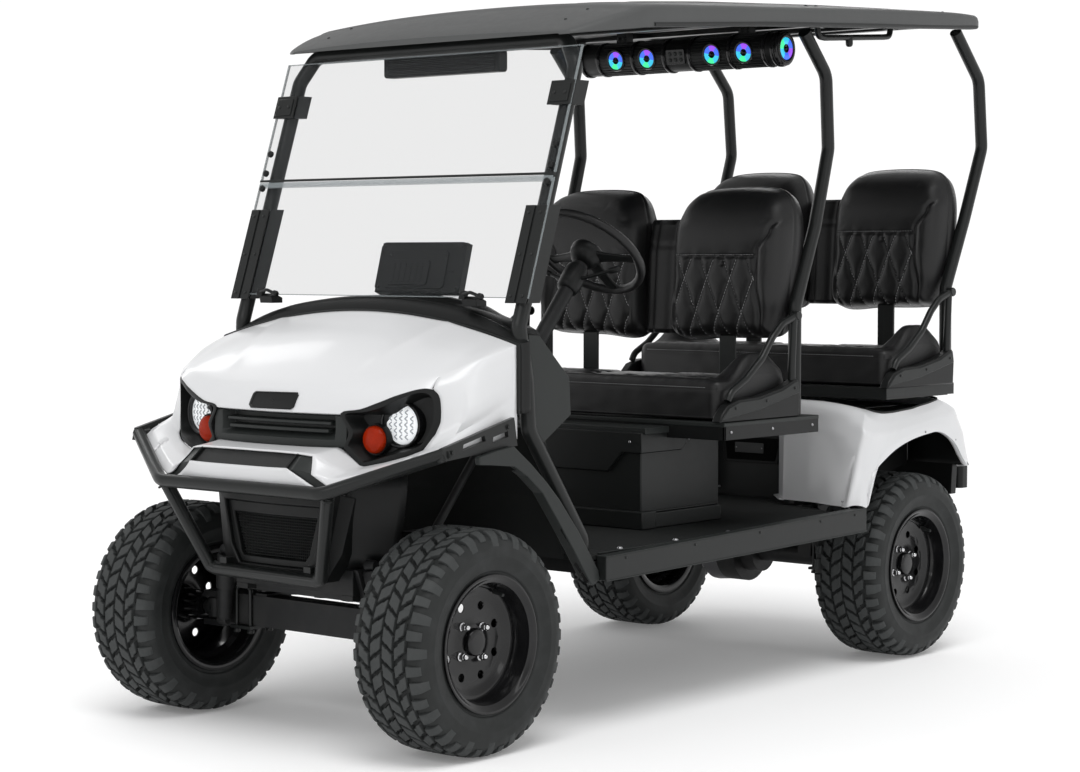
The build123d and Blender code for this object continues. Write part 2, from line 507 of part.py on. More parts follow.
# the dash top falls away to both sides with the cowl: x, z
DASH_SHOULDER = [(250, 1120), (330, 1090), (400, 1070), (470, 1044), (470, 1125), (250, 1125)]
for k in (-1, 1):
    dash -= prism_y([(k * x, z) for x, z in DASH_SHOULDER], 190, 300)
dash_cut = cyl(along(-40), along(-640), 24)
write("dashboard", fuse(dash - dash_cut))
write("floor_pan", fuse(floor, toe - cyl(along(-400), along(-950), 16)))
pedals = []
for x0, x1, z0 in ((215, 275, 500), (120, 190, 500)):
    pedals.append(prism_x([(412, 500), (424, 505), (398, 640), (386, 635)], x0, x1) + prism_x([(396, 560), (404, 572), (380, 572), (380, 560)], x0 + 20, x0 + 35))
write("pedals", *pedals)
stalk = sorted((box(80, 110, 262, 290, 1088, 1130) - dash).solids(), key=lambda q: -q.volume)[0]
write("display_screen", prism_x([(262, 1122), (282, 1114), (318, 1246), (298, 1252)], -55, 245) + stalk)
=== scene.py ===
import math
import random

import bmesh
import bpy
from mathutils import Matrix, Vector, noise
from mathutils.bvhtree import BVHTree


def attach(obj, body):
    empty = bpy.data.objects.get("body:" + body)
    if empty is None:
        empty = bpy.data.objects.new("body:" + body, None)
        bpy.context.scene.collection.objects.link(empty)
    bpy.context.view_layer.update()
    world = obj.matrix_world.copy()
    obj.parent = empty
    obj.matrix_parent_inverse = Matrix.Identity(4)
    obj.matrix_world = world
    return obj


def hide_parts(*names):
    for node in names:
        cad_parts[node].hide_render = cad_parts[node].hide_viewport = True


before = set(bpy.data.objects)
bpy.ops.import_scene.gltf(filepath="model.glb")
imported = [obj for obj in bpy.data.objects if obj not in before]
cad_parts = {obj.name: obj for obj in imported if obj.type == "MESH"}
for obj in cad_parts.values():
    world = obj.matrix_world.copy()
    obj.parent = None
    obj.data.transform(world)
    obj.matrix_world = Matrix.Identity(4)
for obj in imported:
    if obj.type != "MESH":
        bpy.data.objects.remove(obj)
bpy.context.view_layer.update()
random.seed(7)
SHIFT = 1103.0           # millimetres from the front axle back to the frame's origin


def V(x, y, z):
    """A place in millimetres from the front axle, in the frame's metres."""
    return Vector((x / 1000.0, (y - SHIFT) / 1000.0, z / 1000.0))


# ---- mesh tools ---------------------------------------------------------------
def lerp(a, b, t):
    return a + (b - a) * t


def smoothstep(a, b, x):
    t = min(1.0, max(0.0, (x - a) / (b - a)))
    return t * t * (3 - 2 * t)


def rounded(points, bend, step=9.0):
    """Straight runs joined by tangent arcs, as a list of points. bend is one radius or a list."""
    P = [Vector(p) for p in points]
    out = [P[0]]
    for i in range(1, len(P) - 1):
        r = bend if not isinstance(bend, (list, tuple)) else bend[i - 1]
        a, b = (P[i - 1] - P[i]), (P[i + 1] - P[i])
        la, lb = a.length, b.length
        a, b = a.normalized(), b.normalized()
        ang = math.pi - a.angle(b)
        if ang < 1e-3:
            out.append(P[i])
            continue
        cut = min(r * math.tan(ang / 2), 0.49 * la, 0.49 * lb)
        rr = cut / math.tan(ang / 2)
        n = max(3, int(math.degrees(ang) / step) + 1)
        start, end = P[i] + a * cut, P[i] + b * cut
        mid = (a + b).normalized()
        centre = P[i] + mid * math.hypot(cut, rr)
        for k in range(n + 1):
            t = k / n
            u = (start - centre).normalized().slerp((end - centre).normalized(), t)
            out.append(centre + u * rr)
    out.append(P[-1])
    return out


class Shape:
    """Faces collected in millimetres from the front axle; make() turns them into one piece."""

    def __init__(self):
        self.v, self.f, self.m = [], [], []

    def add(self, verts, faces, mat=0):
        n = len(self.v)
        self.v += [tuple(p) for p in verts]
        self.f += [tuple(i + n for i in f) for f in faces]
        self.m += [mat] * len(faces)
        return self

    def grid(self, rows, mat=0, close_u=False, close_v=False, flip=False):
        """Quads over equal rows of points; close_u joins the ends of each row."""
        nv, nu = len(rows), len(rows[0])
        pts = [p for r in rows for p in r]
        fs = []
        for j in range(nv if close_v else nv - 1):
            for i in range(nu if close_u else nu - 1):
                a, b = j * nu + i, j * nu + (i + 1) % nu
                c, d = ((j + 1) % nv) * nu + (i + 1) % nu, ((j + 1) % nv) * nu + i
                fs.append((a, d, c, b) if flip else (a, b, c, d))
        return self.add(pts, fs, mat)

    def rings(self, rings, mat=0, cap0=True, cap1=True):
        n = len(rings[0])
        self.grid(rings, mat, close_u=True)
        base = len(self.v) - n * len(rings)
        if cap0:
            self.f.append(tuple(base + i for i in reversed(range(n))))
            self.m.append(mat)
        if cap1:
            self.f.append(tuple(len(self.v) - n + i for i in range(n)))
            self.m.append(mat)
        return self

    def prism(self, ring, vec, mat=0):
        a = [Vector(p) for p in ring]
        v = Vector(vec)
        nrm = Vector((0, 0, 0))
        for i in range(len(a)):
            nrm += a[i].cross(a[(i + 1) % len(a)])
        if nrm.dot(v) < 0:
            a.reverse()
        return self.rings([a, [p + v for p in a]], mat)

    def px(self, yz, x0, x1, mat=0):
        return self.prism([(min(x0, x1), y, z) for y, z in yz], (abs(x1 - x0), 0, 0), mat)

    def py(self, xz, y0, y1, mat=0):
        return self.prism([(x, min(y0, y1), z) for x, z in xz], (0, abs(y1 - y0), 0), mat)

    def pz(self, xy, z0, z1, mat=0):
        return self.prism([(x, y, min(z0, z1)) for x, y in xy], (0, 0, abs(z1 - z0)), mat)

    def box(self, x0, x1, y0, y1, z0, z1, mat=0):
        return self.px([(y0, z0), (y1, z0), (y1, z1), (y0, z1)], x0, x1, mat)

    def tube(self, points, r, bend=30.0, n=14, mat=0, step=9.0):
        path = rounded(points, bend, step) if len(points) > 2 else [Vector(p) for p in points]
        return self.sweep(path, [(r * math.cos(2 * math.pi * k / n), r * math.sin(2 * math.pi * k / n)) for k in range(n)], mat)

    def sweep(self, path, section, mat=0, up=None):
        path = [Vector(p) for p in path]
        rings = []
        t = (path[1] - path[0]).normalized()
        u = Vector(up) if up else (Vector((1, 0, 0)) if abs(t.x) < 0.9 else Vector((0, 1, 0)))
        u = (u - t * u.dot(t)).normalized()
        for i, p in enumerate(path):
            a = path[max(0, i - 1)]
            b = path[min(len(path) - 1, i + 1)]
            t2 = (b - a).normalized()
            u = (u - t2 * u.dot(t2)).normalized()
            w = t2.cross(u)
            k = 1.0
            if 0 < i < len(path) - 1:
                c = (path[i] - a).normalized().dot(t2)
                k = 1.0 / max(0.5, c)
            rings.append([p + u * x + w * y for x, y in section])
        return self.rings(rings, mat)

    def cyl(self, p0, p1, r0, r1=None, n=28, mat=0):
        a, b = Vector(p0), Vector(p1)
        r1 = r0 if r1 is None else r1
        return self.turned(a, (b - a).normalized(), [(0, r0), ((b - a).length, r1)], n, mat)

    def turned(self, origin, axis, profile, n=32, mat=0, cap=True):
        """Turned part: rows of (distance along the axis, radius)."""
        o, ax = Vector(origin), Vector(axis).normalized()
        u = Vector((0, 0, 1)) if abs(ax.z) < 0.9 else Vector((1, 0, 0))
        u = (u - ax * u.dot(ax)).normalized()
        w = ax.cross(u)
        rings = [[o + ax * t + (u * math.cos(2 * math.pi * k / n) + w * math.sin(2 * math.pi * k / n)) * r for k in range(n)] for t, r in profile]
        return self.rings(rings, mat, cap, cap)

    def ring_of(self, origin, axis, profile, n=48, mat=0):
        """Turned part whose closed profile doesn't touch the axis."""
        o, ax = Vector(origin), Vector(axis).normalized()
        u = Vector((0, 0, 1)) if abs(ax.z) < 0.9 else Vector((1, 0, 0))
        u = (u - ax * u.dot(ax)).normalized()
        w = ax.cross(u)
        rows = [[o + ax * t + (u * math.cos(2 * math.pi * k / n) + w * math.sin(2 * math.pi * k / n)) * r for t, r in profile] for k in range(n)]
        return self.grid(rows, mat, close_u=True, close_v=True)

    def hexagon(self, origin, axis, r, h, mat=0):
        return self.turned(origin, axis, [(0, r), (h * 0.85, r), (h, r * 0.86)], 6, mat)

    def bolt(self, origin, axis, r=7.0, mat=0):
        self.turned(origin, axis, [(0, r * 1.5), (1.2, r * 1.5)], 20, mat)
        o = Vector(origin) + Vector(axis).normalized() * 1.2
        return self.hexagon(o, axis, r, r * 0.7, mat)

    def dome_bolt(self, origin, axis, r=6.0, mat=0):
        return self.turned(origin, axis, [(0, r), (r * 0.3, r * 0.95), (r * 0.6, r * 0.7), (r * 0.75, r * 0.3)], 16, mat)

    def mirror(self):
        """Adds the other half, reflected in x."""
        n = len(self.v)
        v, f, m = list(self.v), list(self.f), list(self.m)
        self.v += [(-x, y, z) for x, y, z in v]
        self.f += [tuple(i + n for i in reversed(q)) for q in f]
        self.m += m
        return self

    def flipped(self):
        s = Shape()
        s.v = [(-x, y, z) for x, y, z in self.v]
        s.f = [tuple(reversed(q)) for q in self.f]
        s.m = list(self.m)
        return s

    def moved(self, dx, dy, dz):
        s = Shape()
        s.v = [(x + dx, y + dy, z + dz) for x, y, z in self.v]
        s.f, s.m = list(self.f), list(self.m)
        return s

    def join(self, other):
        return self.add(other.v, other.f, 0) if not other.m else self._join(other)

    def _join(self, o):
        n = len(self.v)
        self.v += o.v
        self.f += [tuple(i + n for i in q) for q in o.f]
        self.m += o.m
        return self

    def make(self, name, mats, body="chassis", slot=None, stands_for=(), bevel=0.0, seg=2, smooth=38, fix=True, weld=0.0):
        me = bpy.data.meshes.new(name)
        me.from_pydata([V(*p) for p in self.v], [], self.f)
        for mt in (mats if isinstance(mats, (list, tuple)) else [mats]):
            me.materials.append(mt)
        me.polygons.foreach_set("material_index", self.m)
        me.validate()
        if fix or weld:
            bm = bmesh.new()
            bm.from_mesh(me)
            if weld:
                bmesh.ops.remove_doubles(bm, verts=bm.verts, dist=weld / 1000)
            bmesh.ops.recalc_face_normals(bm, faces=bm.faces)
            bm.to_mesh(me)
            bm.free()
        ob = bpy.data.objects.new(name, me)
        bpy.context.scene.collection.objects.link(ob)
        finish_mesh(ob, bevel, seg, smooth)
        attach(ob, body)
        if stands_for:
            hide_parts(*([stands_for] if isinstance(stands_for, str) else stands_for))
        return ob


def finish_mesh(ob, bevel=0.0, seg=2, smooth=38):
    me = ob.data
    me.polygons.foreach_set("use_smooth", [True] * len(me.polygons))
    me.set_sharp_from_angle(angle=math.radians(smooth))
    if bevel:
        b = ob.modifiers.new("edges", "BEVEL")
        b.width, b.segments = bevel / 1000, seg
        b.limit_method, b.angle_limit = "ANGLE", math.radians(32)
        b.harden_normals = False
        b.use_clamp_overlap = True
        me.polygons.foreach_set("use_smooth", [True] * len(me.polygons))


# ---- materials ------------------------------------------------------------------
def material(name, col, rough=0.5, var=0.06, rvar=0.06, grain=500.0, bump=0.10, dist=0.0006, coarse=7.0, metallic=0.0,
             coat=0.0, coat_rough=0.04, spec=0.5, kind="noise", alpha=1.0, emit=None, sheen=0.0, trans=0.0, ior=1.5, dust=None):
    m = bpy.data.materials.new(name)
    m.use_nodes = True
    nt = m.node_tree
    nt.nodes.clear()
    N = lambda t: nt.nodes.new(t)
    L = nt.links.new
    out, bs, tc = N("ShaderNodeOutputMaterial"), N("ShaderNodeBsdfPrincipled"), N("ShaderNodeTexCoord")
    L(bs.outputs[0], out.inputs[0])
    big = N("ShaderNodeTexNoise")
    big.inputs["Scale"].default_value = coarse
    big.inputs["Detail"].default_value = 5
    L(tc.outputs["Object"], big.inputs["Vector"])
    mix = N("ShaderNodeMix")
    mix.data_type = "RGBA"
    mix.inputs["A"].default_value = (*[c * (1 - var) for c in col], 1)
    mix.inputs["B"].default_value = (*[min(1.0, c * (1 + var)) for c in col], 1)
    L(big.outputs["Fac"], mix.inputs["Factor"])
    colour = mix.outputs["Result"]
    if dust:
        # pale dust that gathers in broad soft patches: colour, amount, scale
        dn = N("ShaderNodeTexNoise")
        dn.inputs["Scale"].default_value = dust[2]
        dn.inputs["Detail"].default_value = 6
        L(tc.outputs["Object"], dn.inputs["Vector"])
        dr = N("ShaderNodeMapRange")
        dr.inputs["From Min"].default_value, dr.inputs["From Max"].default_value = 0.45, 0.75
        dr.inputs["To Max"].default_value = dust[1]
        L(dn.outputs["Fac"], dr.inputs["Value"])
        dm = N("ShaderNodeMix")
        dm.data_type = "RGBA"
        dm.inputs["B"].default_value = (*dust[0], 1)
        L(colour, dm.inputs["A"])
        L(dr.outputs[0], dm.inputs["Factor"])
        colour = dm.outputs["Result"]
    L(colour, bs.inputs["Base Color"])
    mid = N("ShaderNodeTexNoise")
    mid.inputs["Scale"].default_value = coarse * 6
    mid.inputs["Detail"].default_value = 3
    L(tc.outputs["Object"], mid.inputs["Vector"])
    mr = N("ShaderNodeMapRange")
    mr.inputs["To Min"].default_value, mr.inputs["To Max"].default_value = max(0.0, rough - rvar), min(1.0, rough + rvar)
    L(mid.outputs["Fac"], mr.inputs["Value"])
    L(mr.outputs[0], bs.inputs["Roughness"])
    if bump:
        bp = N("ShaderNodeBump")
        bp.inputs["Strength"].default_value = bump
        bp.inputs["Distance"].default_value = dist
        if kind == "leather":
            vo = N("ShaderNodeTexVoronoi")
            vo.feature = "DISTANCE_TO_EDGE"
            vo.inputs["Scale"].default_value = grain
            warp = N("ShaderNodeTexNoise")
            warp.inputs["Scale"].default_value = grain * 0.35
            add = N("ShaderNodeVectorMath")
            add.operation = "MULTIPLY_ADD"
            L(tc.outputs["Object"], warp.inputs["Vector"])
            L(warp.outputs["Color"], add.inputs[0])
            add.inputs[1].default_value = (0.002, 0.002, 0.002)
            L(tc.outputs["Object"], add.inputs[2])
            L(add.outputs[0], vo.inputs["Vector"])
            rm = N("ShaderNodeMapRange")
            rm.inputs["From Max"].default_value = 0.16
            L(vo.outputs["Distance"], rm.inputs["Value"])
            L(rm.outputs[0], bp.inputs["Height"])
        elif kind == "brushed":
            mp = N("ShaderNodeMapping")
            mp.inputs["Scale"].default_value = (1, 1, 14)
            L(tc.outputs["Object"], mp.inputs["Vector"])
            fine = N("ShaderNodeTexNoise")
            fine.inputs["Scale"].default_value = grain
            L(mp.outputs[0], fine.inputs["Vector"])
            L(fine.outputs["Fac"], bp.inputs["Height"])
        elif kind == "pebble":
            vo = N("ShaderNodeTexVoronoi")
            vo.feature = "SMOOTH_F1"
            vo.inputs["Scale"].default_value = grain
            L(tc.outputs["Object"], vo.inputs["Vector"])
            L(vo.outputs["Distance"], bp.inputs["Height"])
        else:
            fine = N("ShaderNodeTexNoise")
            fine.inputs["Scale"].default_value = grain
            fine.inputs["Detail"].default_value = 3
            L(tc.outputs["Object"], fine.inputs["Vector"])
            L(fine.outputs["Fac"], bp.inputs["Height"])
        L(bp.outputs[0], bs.inputs["Normal"])
    bs.inputs["Metallic"].default_value = metallic
    bs.inputs["Specular IOR Level"].default_value = spec
    bs.inputs["Coat Weight"].default_value = coat
    bs.inputs["Coat Roughness"].default_value = coat_rough
    bs.inputs["Alpha"].default_value = alpha
    bs.inputs["IOR"].default_value = ior
    bs.inputs["Transmission Weight"].default_value = trans
    bs.inputs["Sheen Weight"].default_value = sheen
    bs.inputs["Sheen Roughness"].default_value = 0.4
    if emit:
        bs.inputs["Emission Color"].default_value = (*emit[0], 1)
        bs.inputs["Emission Strength"].default_value = emit[1]
    m.diffuse_color = (*col, 1)
    return m


M = {
    "white": material("white_paint", (0.66, 0.665, 0.675), rough=0.33, var=0.012, rvar=0.03, grain=260, bump=0.03, dist=0.0004, coat=0.35, coat_rough=0.10),
    "roof": material("roof_shell", (0.072, 0.074, 0.074), rough=0.50, var=0.06, rvar=0.06, grain=900, bump=0.22, dist=0.0005, spec=0.30, kind="pebble"),
    "grey": material("moulded_grey_plastic", (0.018, 0.0205, 0.0198), rough=0.44, var=0.08, rvar=0.05, grain=1100, bump=0.20, dist=0.0004, spec=0.26, kind="pebble"),
    "black": material("moulded_black_plastic", (0.0075, 0.008, 0.008), rough=0.40, var=0.10, rvar=0.06, grain=1300, bump=0.16, dist=0.0004, spec=0.22, kind="pebble"),
    "gloss": material("gloss_black", (0.006, 0.006, 0.0065), rough=0.16, var=0.08, rvar=0.03, grain=300, bump=0.03, dist=0.0003, coat=0.25, coat_rough=0.06, spec=0.25),
    "steel": material("powder_coated_steel", (0.009, 0.0100, 0.0098), rough=0.32, var=0.10, rvar=0.06, grain=700, bump=0.14, dist=0.0005, spec=0.30),
    "under": material("chassis_black", (0.010, 0.0105, 0.011), rough=0.50, var=0.14, rvar=0.10, grain=420, bump=0.20, dist=0.0006, spec=0.25, dust=((0.045, 0.044, 0.042), 0.35, 9.0)),
    "mat": material("floor_mat", (0.0105, 0.0115, 0.0112), rough=0.62, var=0.10, rvar=0.08, grain=900, bump=0.30, dist=0.0006, spec=0.18, kind="pebble"),
    "vinyl": material("seat_vinyl", (0.0085, 0.0085, 0.0088), rough=0.38, var=0.12, rvar=0.06, grain=420, bump=0.22, dist=0.0005, spec=0.34, kind="leather"),
    "thread": material("seat_thread", (0.44, 0.44, 0.45), rough=0.75, var=0.15, rvar=0.05, grain=2500, bump=0.4, dist=0.0003, spec=0.3),
    "rubber": material("tyre_rubber", (0.014, 0.0155, 0.0152), rough=0.58, var=0.14, rvar=0.08, grain=600, bump=0.18, dist=0.0005, spec=0.28, dust=((0.030, 0.032, 0.033), 0.5, 22.0)),
    "rim": material("rim_gloss_black", (0.0055, 0.0055, 0.006), rough=0.20, var=0.08, rvar=0.04, grain=260, bump=0.04, dist=0.0004, coat=0.3, coat_rough=0.08, spec=0.25),
    "chrome": material("bright_nut", (0.62, 0.62, 0.63), rough=0.18, var=0.05, rvar=0.06, grain=900, bump=0.05, dist=0.0002, metallic=1.0),
    "zinc": material("zinc_bolt", (0.36, 0.36, 0.37), rough=0.34, var=0.10, rvar=0.08, grain=900, bump=0.10, dist=0.0002, metallic=1.0),
    "lens": material("headlight_lens", (0.86, 0.88, 0.90), rough=0.10, var=0.03, rvar=0.03, grain=300, bump=0.05, dist=0.0003, coat=1.0, emit=((0.95, 0.98, 1.0), 0.25)),
    "chevron": material("headlight_chevron", (0.42, 0.44, 0.46), rough=0.25, var=0.05, rvar=0.04, grain=500, bump=0.05, dist=0.0003),
    "amber": material("signal_lens", (0.29, 0.015, 0.002), rough=0.26, var=0.28, rvar=0.04, grain=90, bump=0.35, dist=0.0012, coarse=60, coat=0.0, spec=0.12, emit=((1.0, 0.10, 0.0), 0.02)),
    "red": material("tail_lens", (0.42, 0.010, 0.008), rough=0.14, var=0.20, rvar=0.04, grain=120, bump=0.30, dist=0.0010, coarse=50, coat=1.0),
    "glass": material("windshield_sheet", (0.055, 0.06, 0.063), rough=0.05, var=0.03, rvar=0.02, grain=40, bump=0.02, dist=0.0004, alpha=0.125, spec=0.3, coarse=3.0),
    "edge": material("windshield_edge", (0.26, 0.29, 0.30), rough=0.22, var=0.05, rvar=0.04, grain=300, bump=0.05, dist=0.0003, alpha=0.55),
    "screen": material("screen_glass", (0.008, 0.009, 0.010), rough=0.08, var=0.05, rvar=0.02, grain=200, bump=0.01, dist=0.0002, coat=0.8),
    "battery": material("battery_case", (0.016, 0.016, 0.017), rough=0.55, var=0.10, rvar=0.06, grain=900, bump=0.20, dist=0.0004, kind="pebble"),
    "tread": material("tyre_tread_blocks", (0.040, 0.043, 0.043), rough=0.66, var=0.20, rvar=0.08, grain=600, bump=0.25, dist=0.0006, spec=0.22, dust=((0.060, 0.062, 0.062), 0.5, 26.0)),
    "pedestal": material("pedestal_plastic", (0.0115, 0.0128, 0.0125), rough=0.36, var=0.10, rvar=0.06, grain=1200, bump=0.16, dist=0.0004, spec=0.26, kind="pebble"),
    "metal_cast": material("cast_alloy", (0.10, 0.10, 0.105), rough=0.42, var=0.14, rvar=0.10, grain=420, bump=0.25, dist=0.0006, metallic=0.7),
    "roof_edge": material("roof_edge_trim", (0.020, 0.021, 0.021), rough=0.40, var=0.08, rvar=0.05, grain=900, bump=0.15, dist=0.0004, spec=0.25),
    "led_green": material("led_green", (0.02, 0.35, 0.16), rough=0.3, var=0.1, rvar=0.04, grain=300, bump=0.05, dist=0.0002, emit=((0.05, 0.92, 0.35), 0.95)),
    "led_cyan": material("led_cyan", (0.02, 0.25, 0.35), rough=0.3, var=0.1, rvar=0.04, grain=300, bump=0.05, dist=0.0002, emit=((0.03, 0.55, 0.80), 0.95)),
    "led_blue": material("led_blue", (0.02, 0.06, 0.40), rough=0.3, var=0.1, rvar=0.04, grain=300, bump=0.05, dist=0.0002, emit=((0.05, 0.16, 0.95), 0.95)),
    "led_violet": material("led_violet", (0.16, 0.03, 0.40), rough=0.3, var=0.1, rvar=0.04, grain=300, bump=0.05, dist=0.0002, emit=((0.32, 0.07, 0.85), 0.95)),
    # near-black matte used as painted shade: flare slot marks, pocket wells, cup-holder hollows, the end-wall recess
    # and the sheet behind the grille; also the plain near-black of the dash switch faces
    "deep_black_and_painted_shade": material("shadow_gap", (0.004, 0.004, 0.004), rough=0.85, var=0.10, rvar=0.05, grain=300, bump=0.05, dist=0.0003, spec=0.1),
}


def dress(node, key, bevel=0.0, smooth=30):
    """Gives a CAD node its finish, with welded, softly broken edges."""
    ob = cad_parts[node]
    me = ob.data
    me.materials.clear()
    me.materials.append(M[key])
    if bevel:
        w = ob.modifiers.new("join", "WELD")
        w.merge_threshold = 0.00002
        b = ob.modifiers.new("edges", "BEVEL")
        b.width, b.segments = bevel / 1000, 2
        b.limit_method, b.angle_limit = "ANGLE", math.radians(35)
        b.use_clamp_overlap = True
    return ob


# ---- stage: pale floor, soft studio light, camera ---------------------------------
scene = bpy.context.scene
scene.view_settings.view_transform = "Standard"
scene.view_settings.look = "None"
scene.view_settings.exposure = 0.0

floor_mat = material("studio_floor", (0.92, 0.92, 0.922), rough=0.7, var=0.008, rvar=0.03, grain=30, bump=0.02, dist=0.0004, coarse=2.0, spec=0.1, emit=((1, 1, 1), 0.12))
fm = bpy.data.meshes.new("studio_floor")
fm.from_pydata([(-40, -40, 0), (40, -40, 0), (40, 40, 0), (-40, 40, 0)], [], [(0, 1, 2, 3)])
fm.materials.append(floor_mat)
floor_ob = bpy.data.objects.new("studio_floor", fm)
scene.collection.objects.link(floor_ob)

world = bpy.data.worlds.new("studio")
scene.world = world
world.use_nodes = True
wt = world.node_tree
wb = wt.nodes["Background"]
wb.inputs[0].default_value = (1.0, 1.0, 1.0, 1)
# white near the horizon, a little dimmer overhead
w_co, w_sep, w_map = wt.nodes.new("ShaderNodeTexCoord"), wt.nodes.new("ShaderNodeSeparateXYZ"), wt.nodes.new("ShaderNodeMapRange")
wt.links.new(w_co.outputs["Generated"], w_sep.inputs[0])
wt.links.new(w_sep.outputs["Z"], w_map.inputs["Value"])
w_map.interpolation_type = "SMOOTHSTEP"
w_map.inputs["From Min"].default_value, w_map.inputs["From Max"].default_value = 0.13, 0.42
w_map.inputs["To Min"].default_value, w_map.inputs["To Max"].default_value = 1.06, 0.62
wt.links.new(w_map.outputs[0], wb.inputs[1])


def area(name, place, look, size, power, size_y=None, colour=(1, 1, 1)):
    d = bpy.data.lights.new(name, "AREA")
    d.shape = "RECTANGLE"
    d.size, d.size_y = size, size_y or size
    d.energy = power
    d.color = colour
    o = bpy.data.objects.new(name, d)
    o.location = place
    o.rotation_mode = "QUATERNION"
    o.rotation_quaternion = (Vector(look) - Vector(place)).to_track_quat("-Z", "Y")
    scene.collection.objects.link(o)
    return o


sun_d = bpy.data.lights.new("soft_sun", "SUN")
sun_d.energy, sun_d.angle = 1.25, math.radians(34)
sun = bpy.data.objects.new("soft_sun", sun_d)
sun.rotation_mode = "QUATERNION"
sun.rotation_quaternion = Vector((-0.30, 0.22, -1.0)).to_track_quat("-Z", "Y")
scene.collection.objects.link(sun)
area("strip_side", (4.2, -0.4, 2.9), (0, 0, 0.7), 0.5, 11, 3.4)
area("strip_front", (0.6, -4.6, 3.0), (0, -0.8, 0.8), 3.0, 22, 0.5)
area("strip_back", (-1.5, 4.6, 3.2), (0, 0.6, 0.9), 3.0, 20, 0.6)
area("strip_far", (-4.4, 0.2, 3.0), (0, 0, 0.8), 0.6, 18, 3.4)

cam_d = bpy.data.cameras.new("camera")
cam = bpy.data.objects.new("camera", cam_d)
scene.collection.objects.link(cam)
scene.camera = cam
cam_d.sensor_width = 36.0
cam_d.lens = 81.05
cam_d.clip_end = 200
cam.location = (4.4425, -5.4881, 1.2197)
yaw, pitch, roll = 0.70111, 0.05381, 0.00043
D = Vector((-math.sin(yaw) * math.cos(pitch), math.cos(yaw) * math.cos(pitch), -math.sin(pitch)))
cam.rotation_mode = "QUATERNION"
cam.rotation_quaternion = D.to_track_quat("-Z", "Y")


# ---- tyres: carcass with a zigzag all-terrain tread and wrapped shoulder lugs --------
AXLE_Z, WHEELBASE, TRACK = 279.5, 1972.0, 483.0
# crown line, centre to sidewall: across, radius
CROWN = [(0, 279.2), (40, 279.2), (66, 278.3), (80, 276.8), (91, 273.8), (100, 268.6), (106, 261.5), (110.5, 251.5), (113.5, 240), (115.6, 228)]
CROWN_Q = [0.0]
for (a0, r0), (a1, r1) in zip(CROWN, CROWN[1:]):
    CROWN_Q.append(CROWN_Q[-1] + math.hypot(a1 - a0, r1 - r0))


def crown(q):
    """Point and outward normal on the crown line, q millimetres from the centre."""
    s, q = (1 if q >= 0 else -1), abs(q)
    i = 0
    while i < len(CROWN_Q) - 2 and q > CROWN_Q[i + 1]:
        i += 1
    t = (q - CROWN_Q[i]) / (CROWN_Q[i + 1] - CROWN_Q[i])
    (a0, r0), (a1, r1) = CROWN[i], CROWN[i + 1]
    d = math.hypot(a1 - a0, r1 - r0)
    nu, nr = -(r1 - r0) / d, (a1 - a0) / d
    return s * lerp(a0, a1, t), lerp(r0, r1, t), s * nu, nr


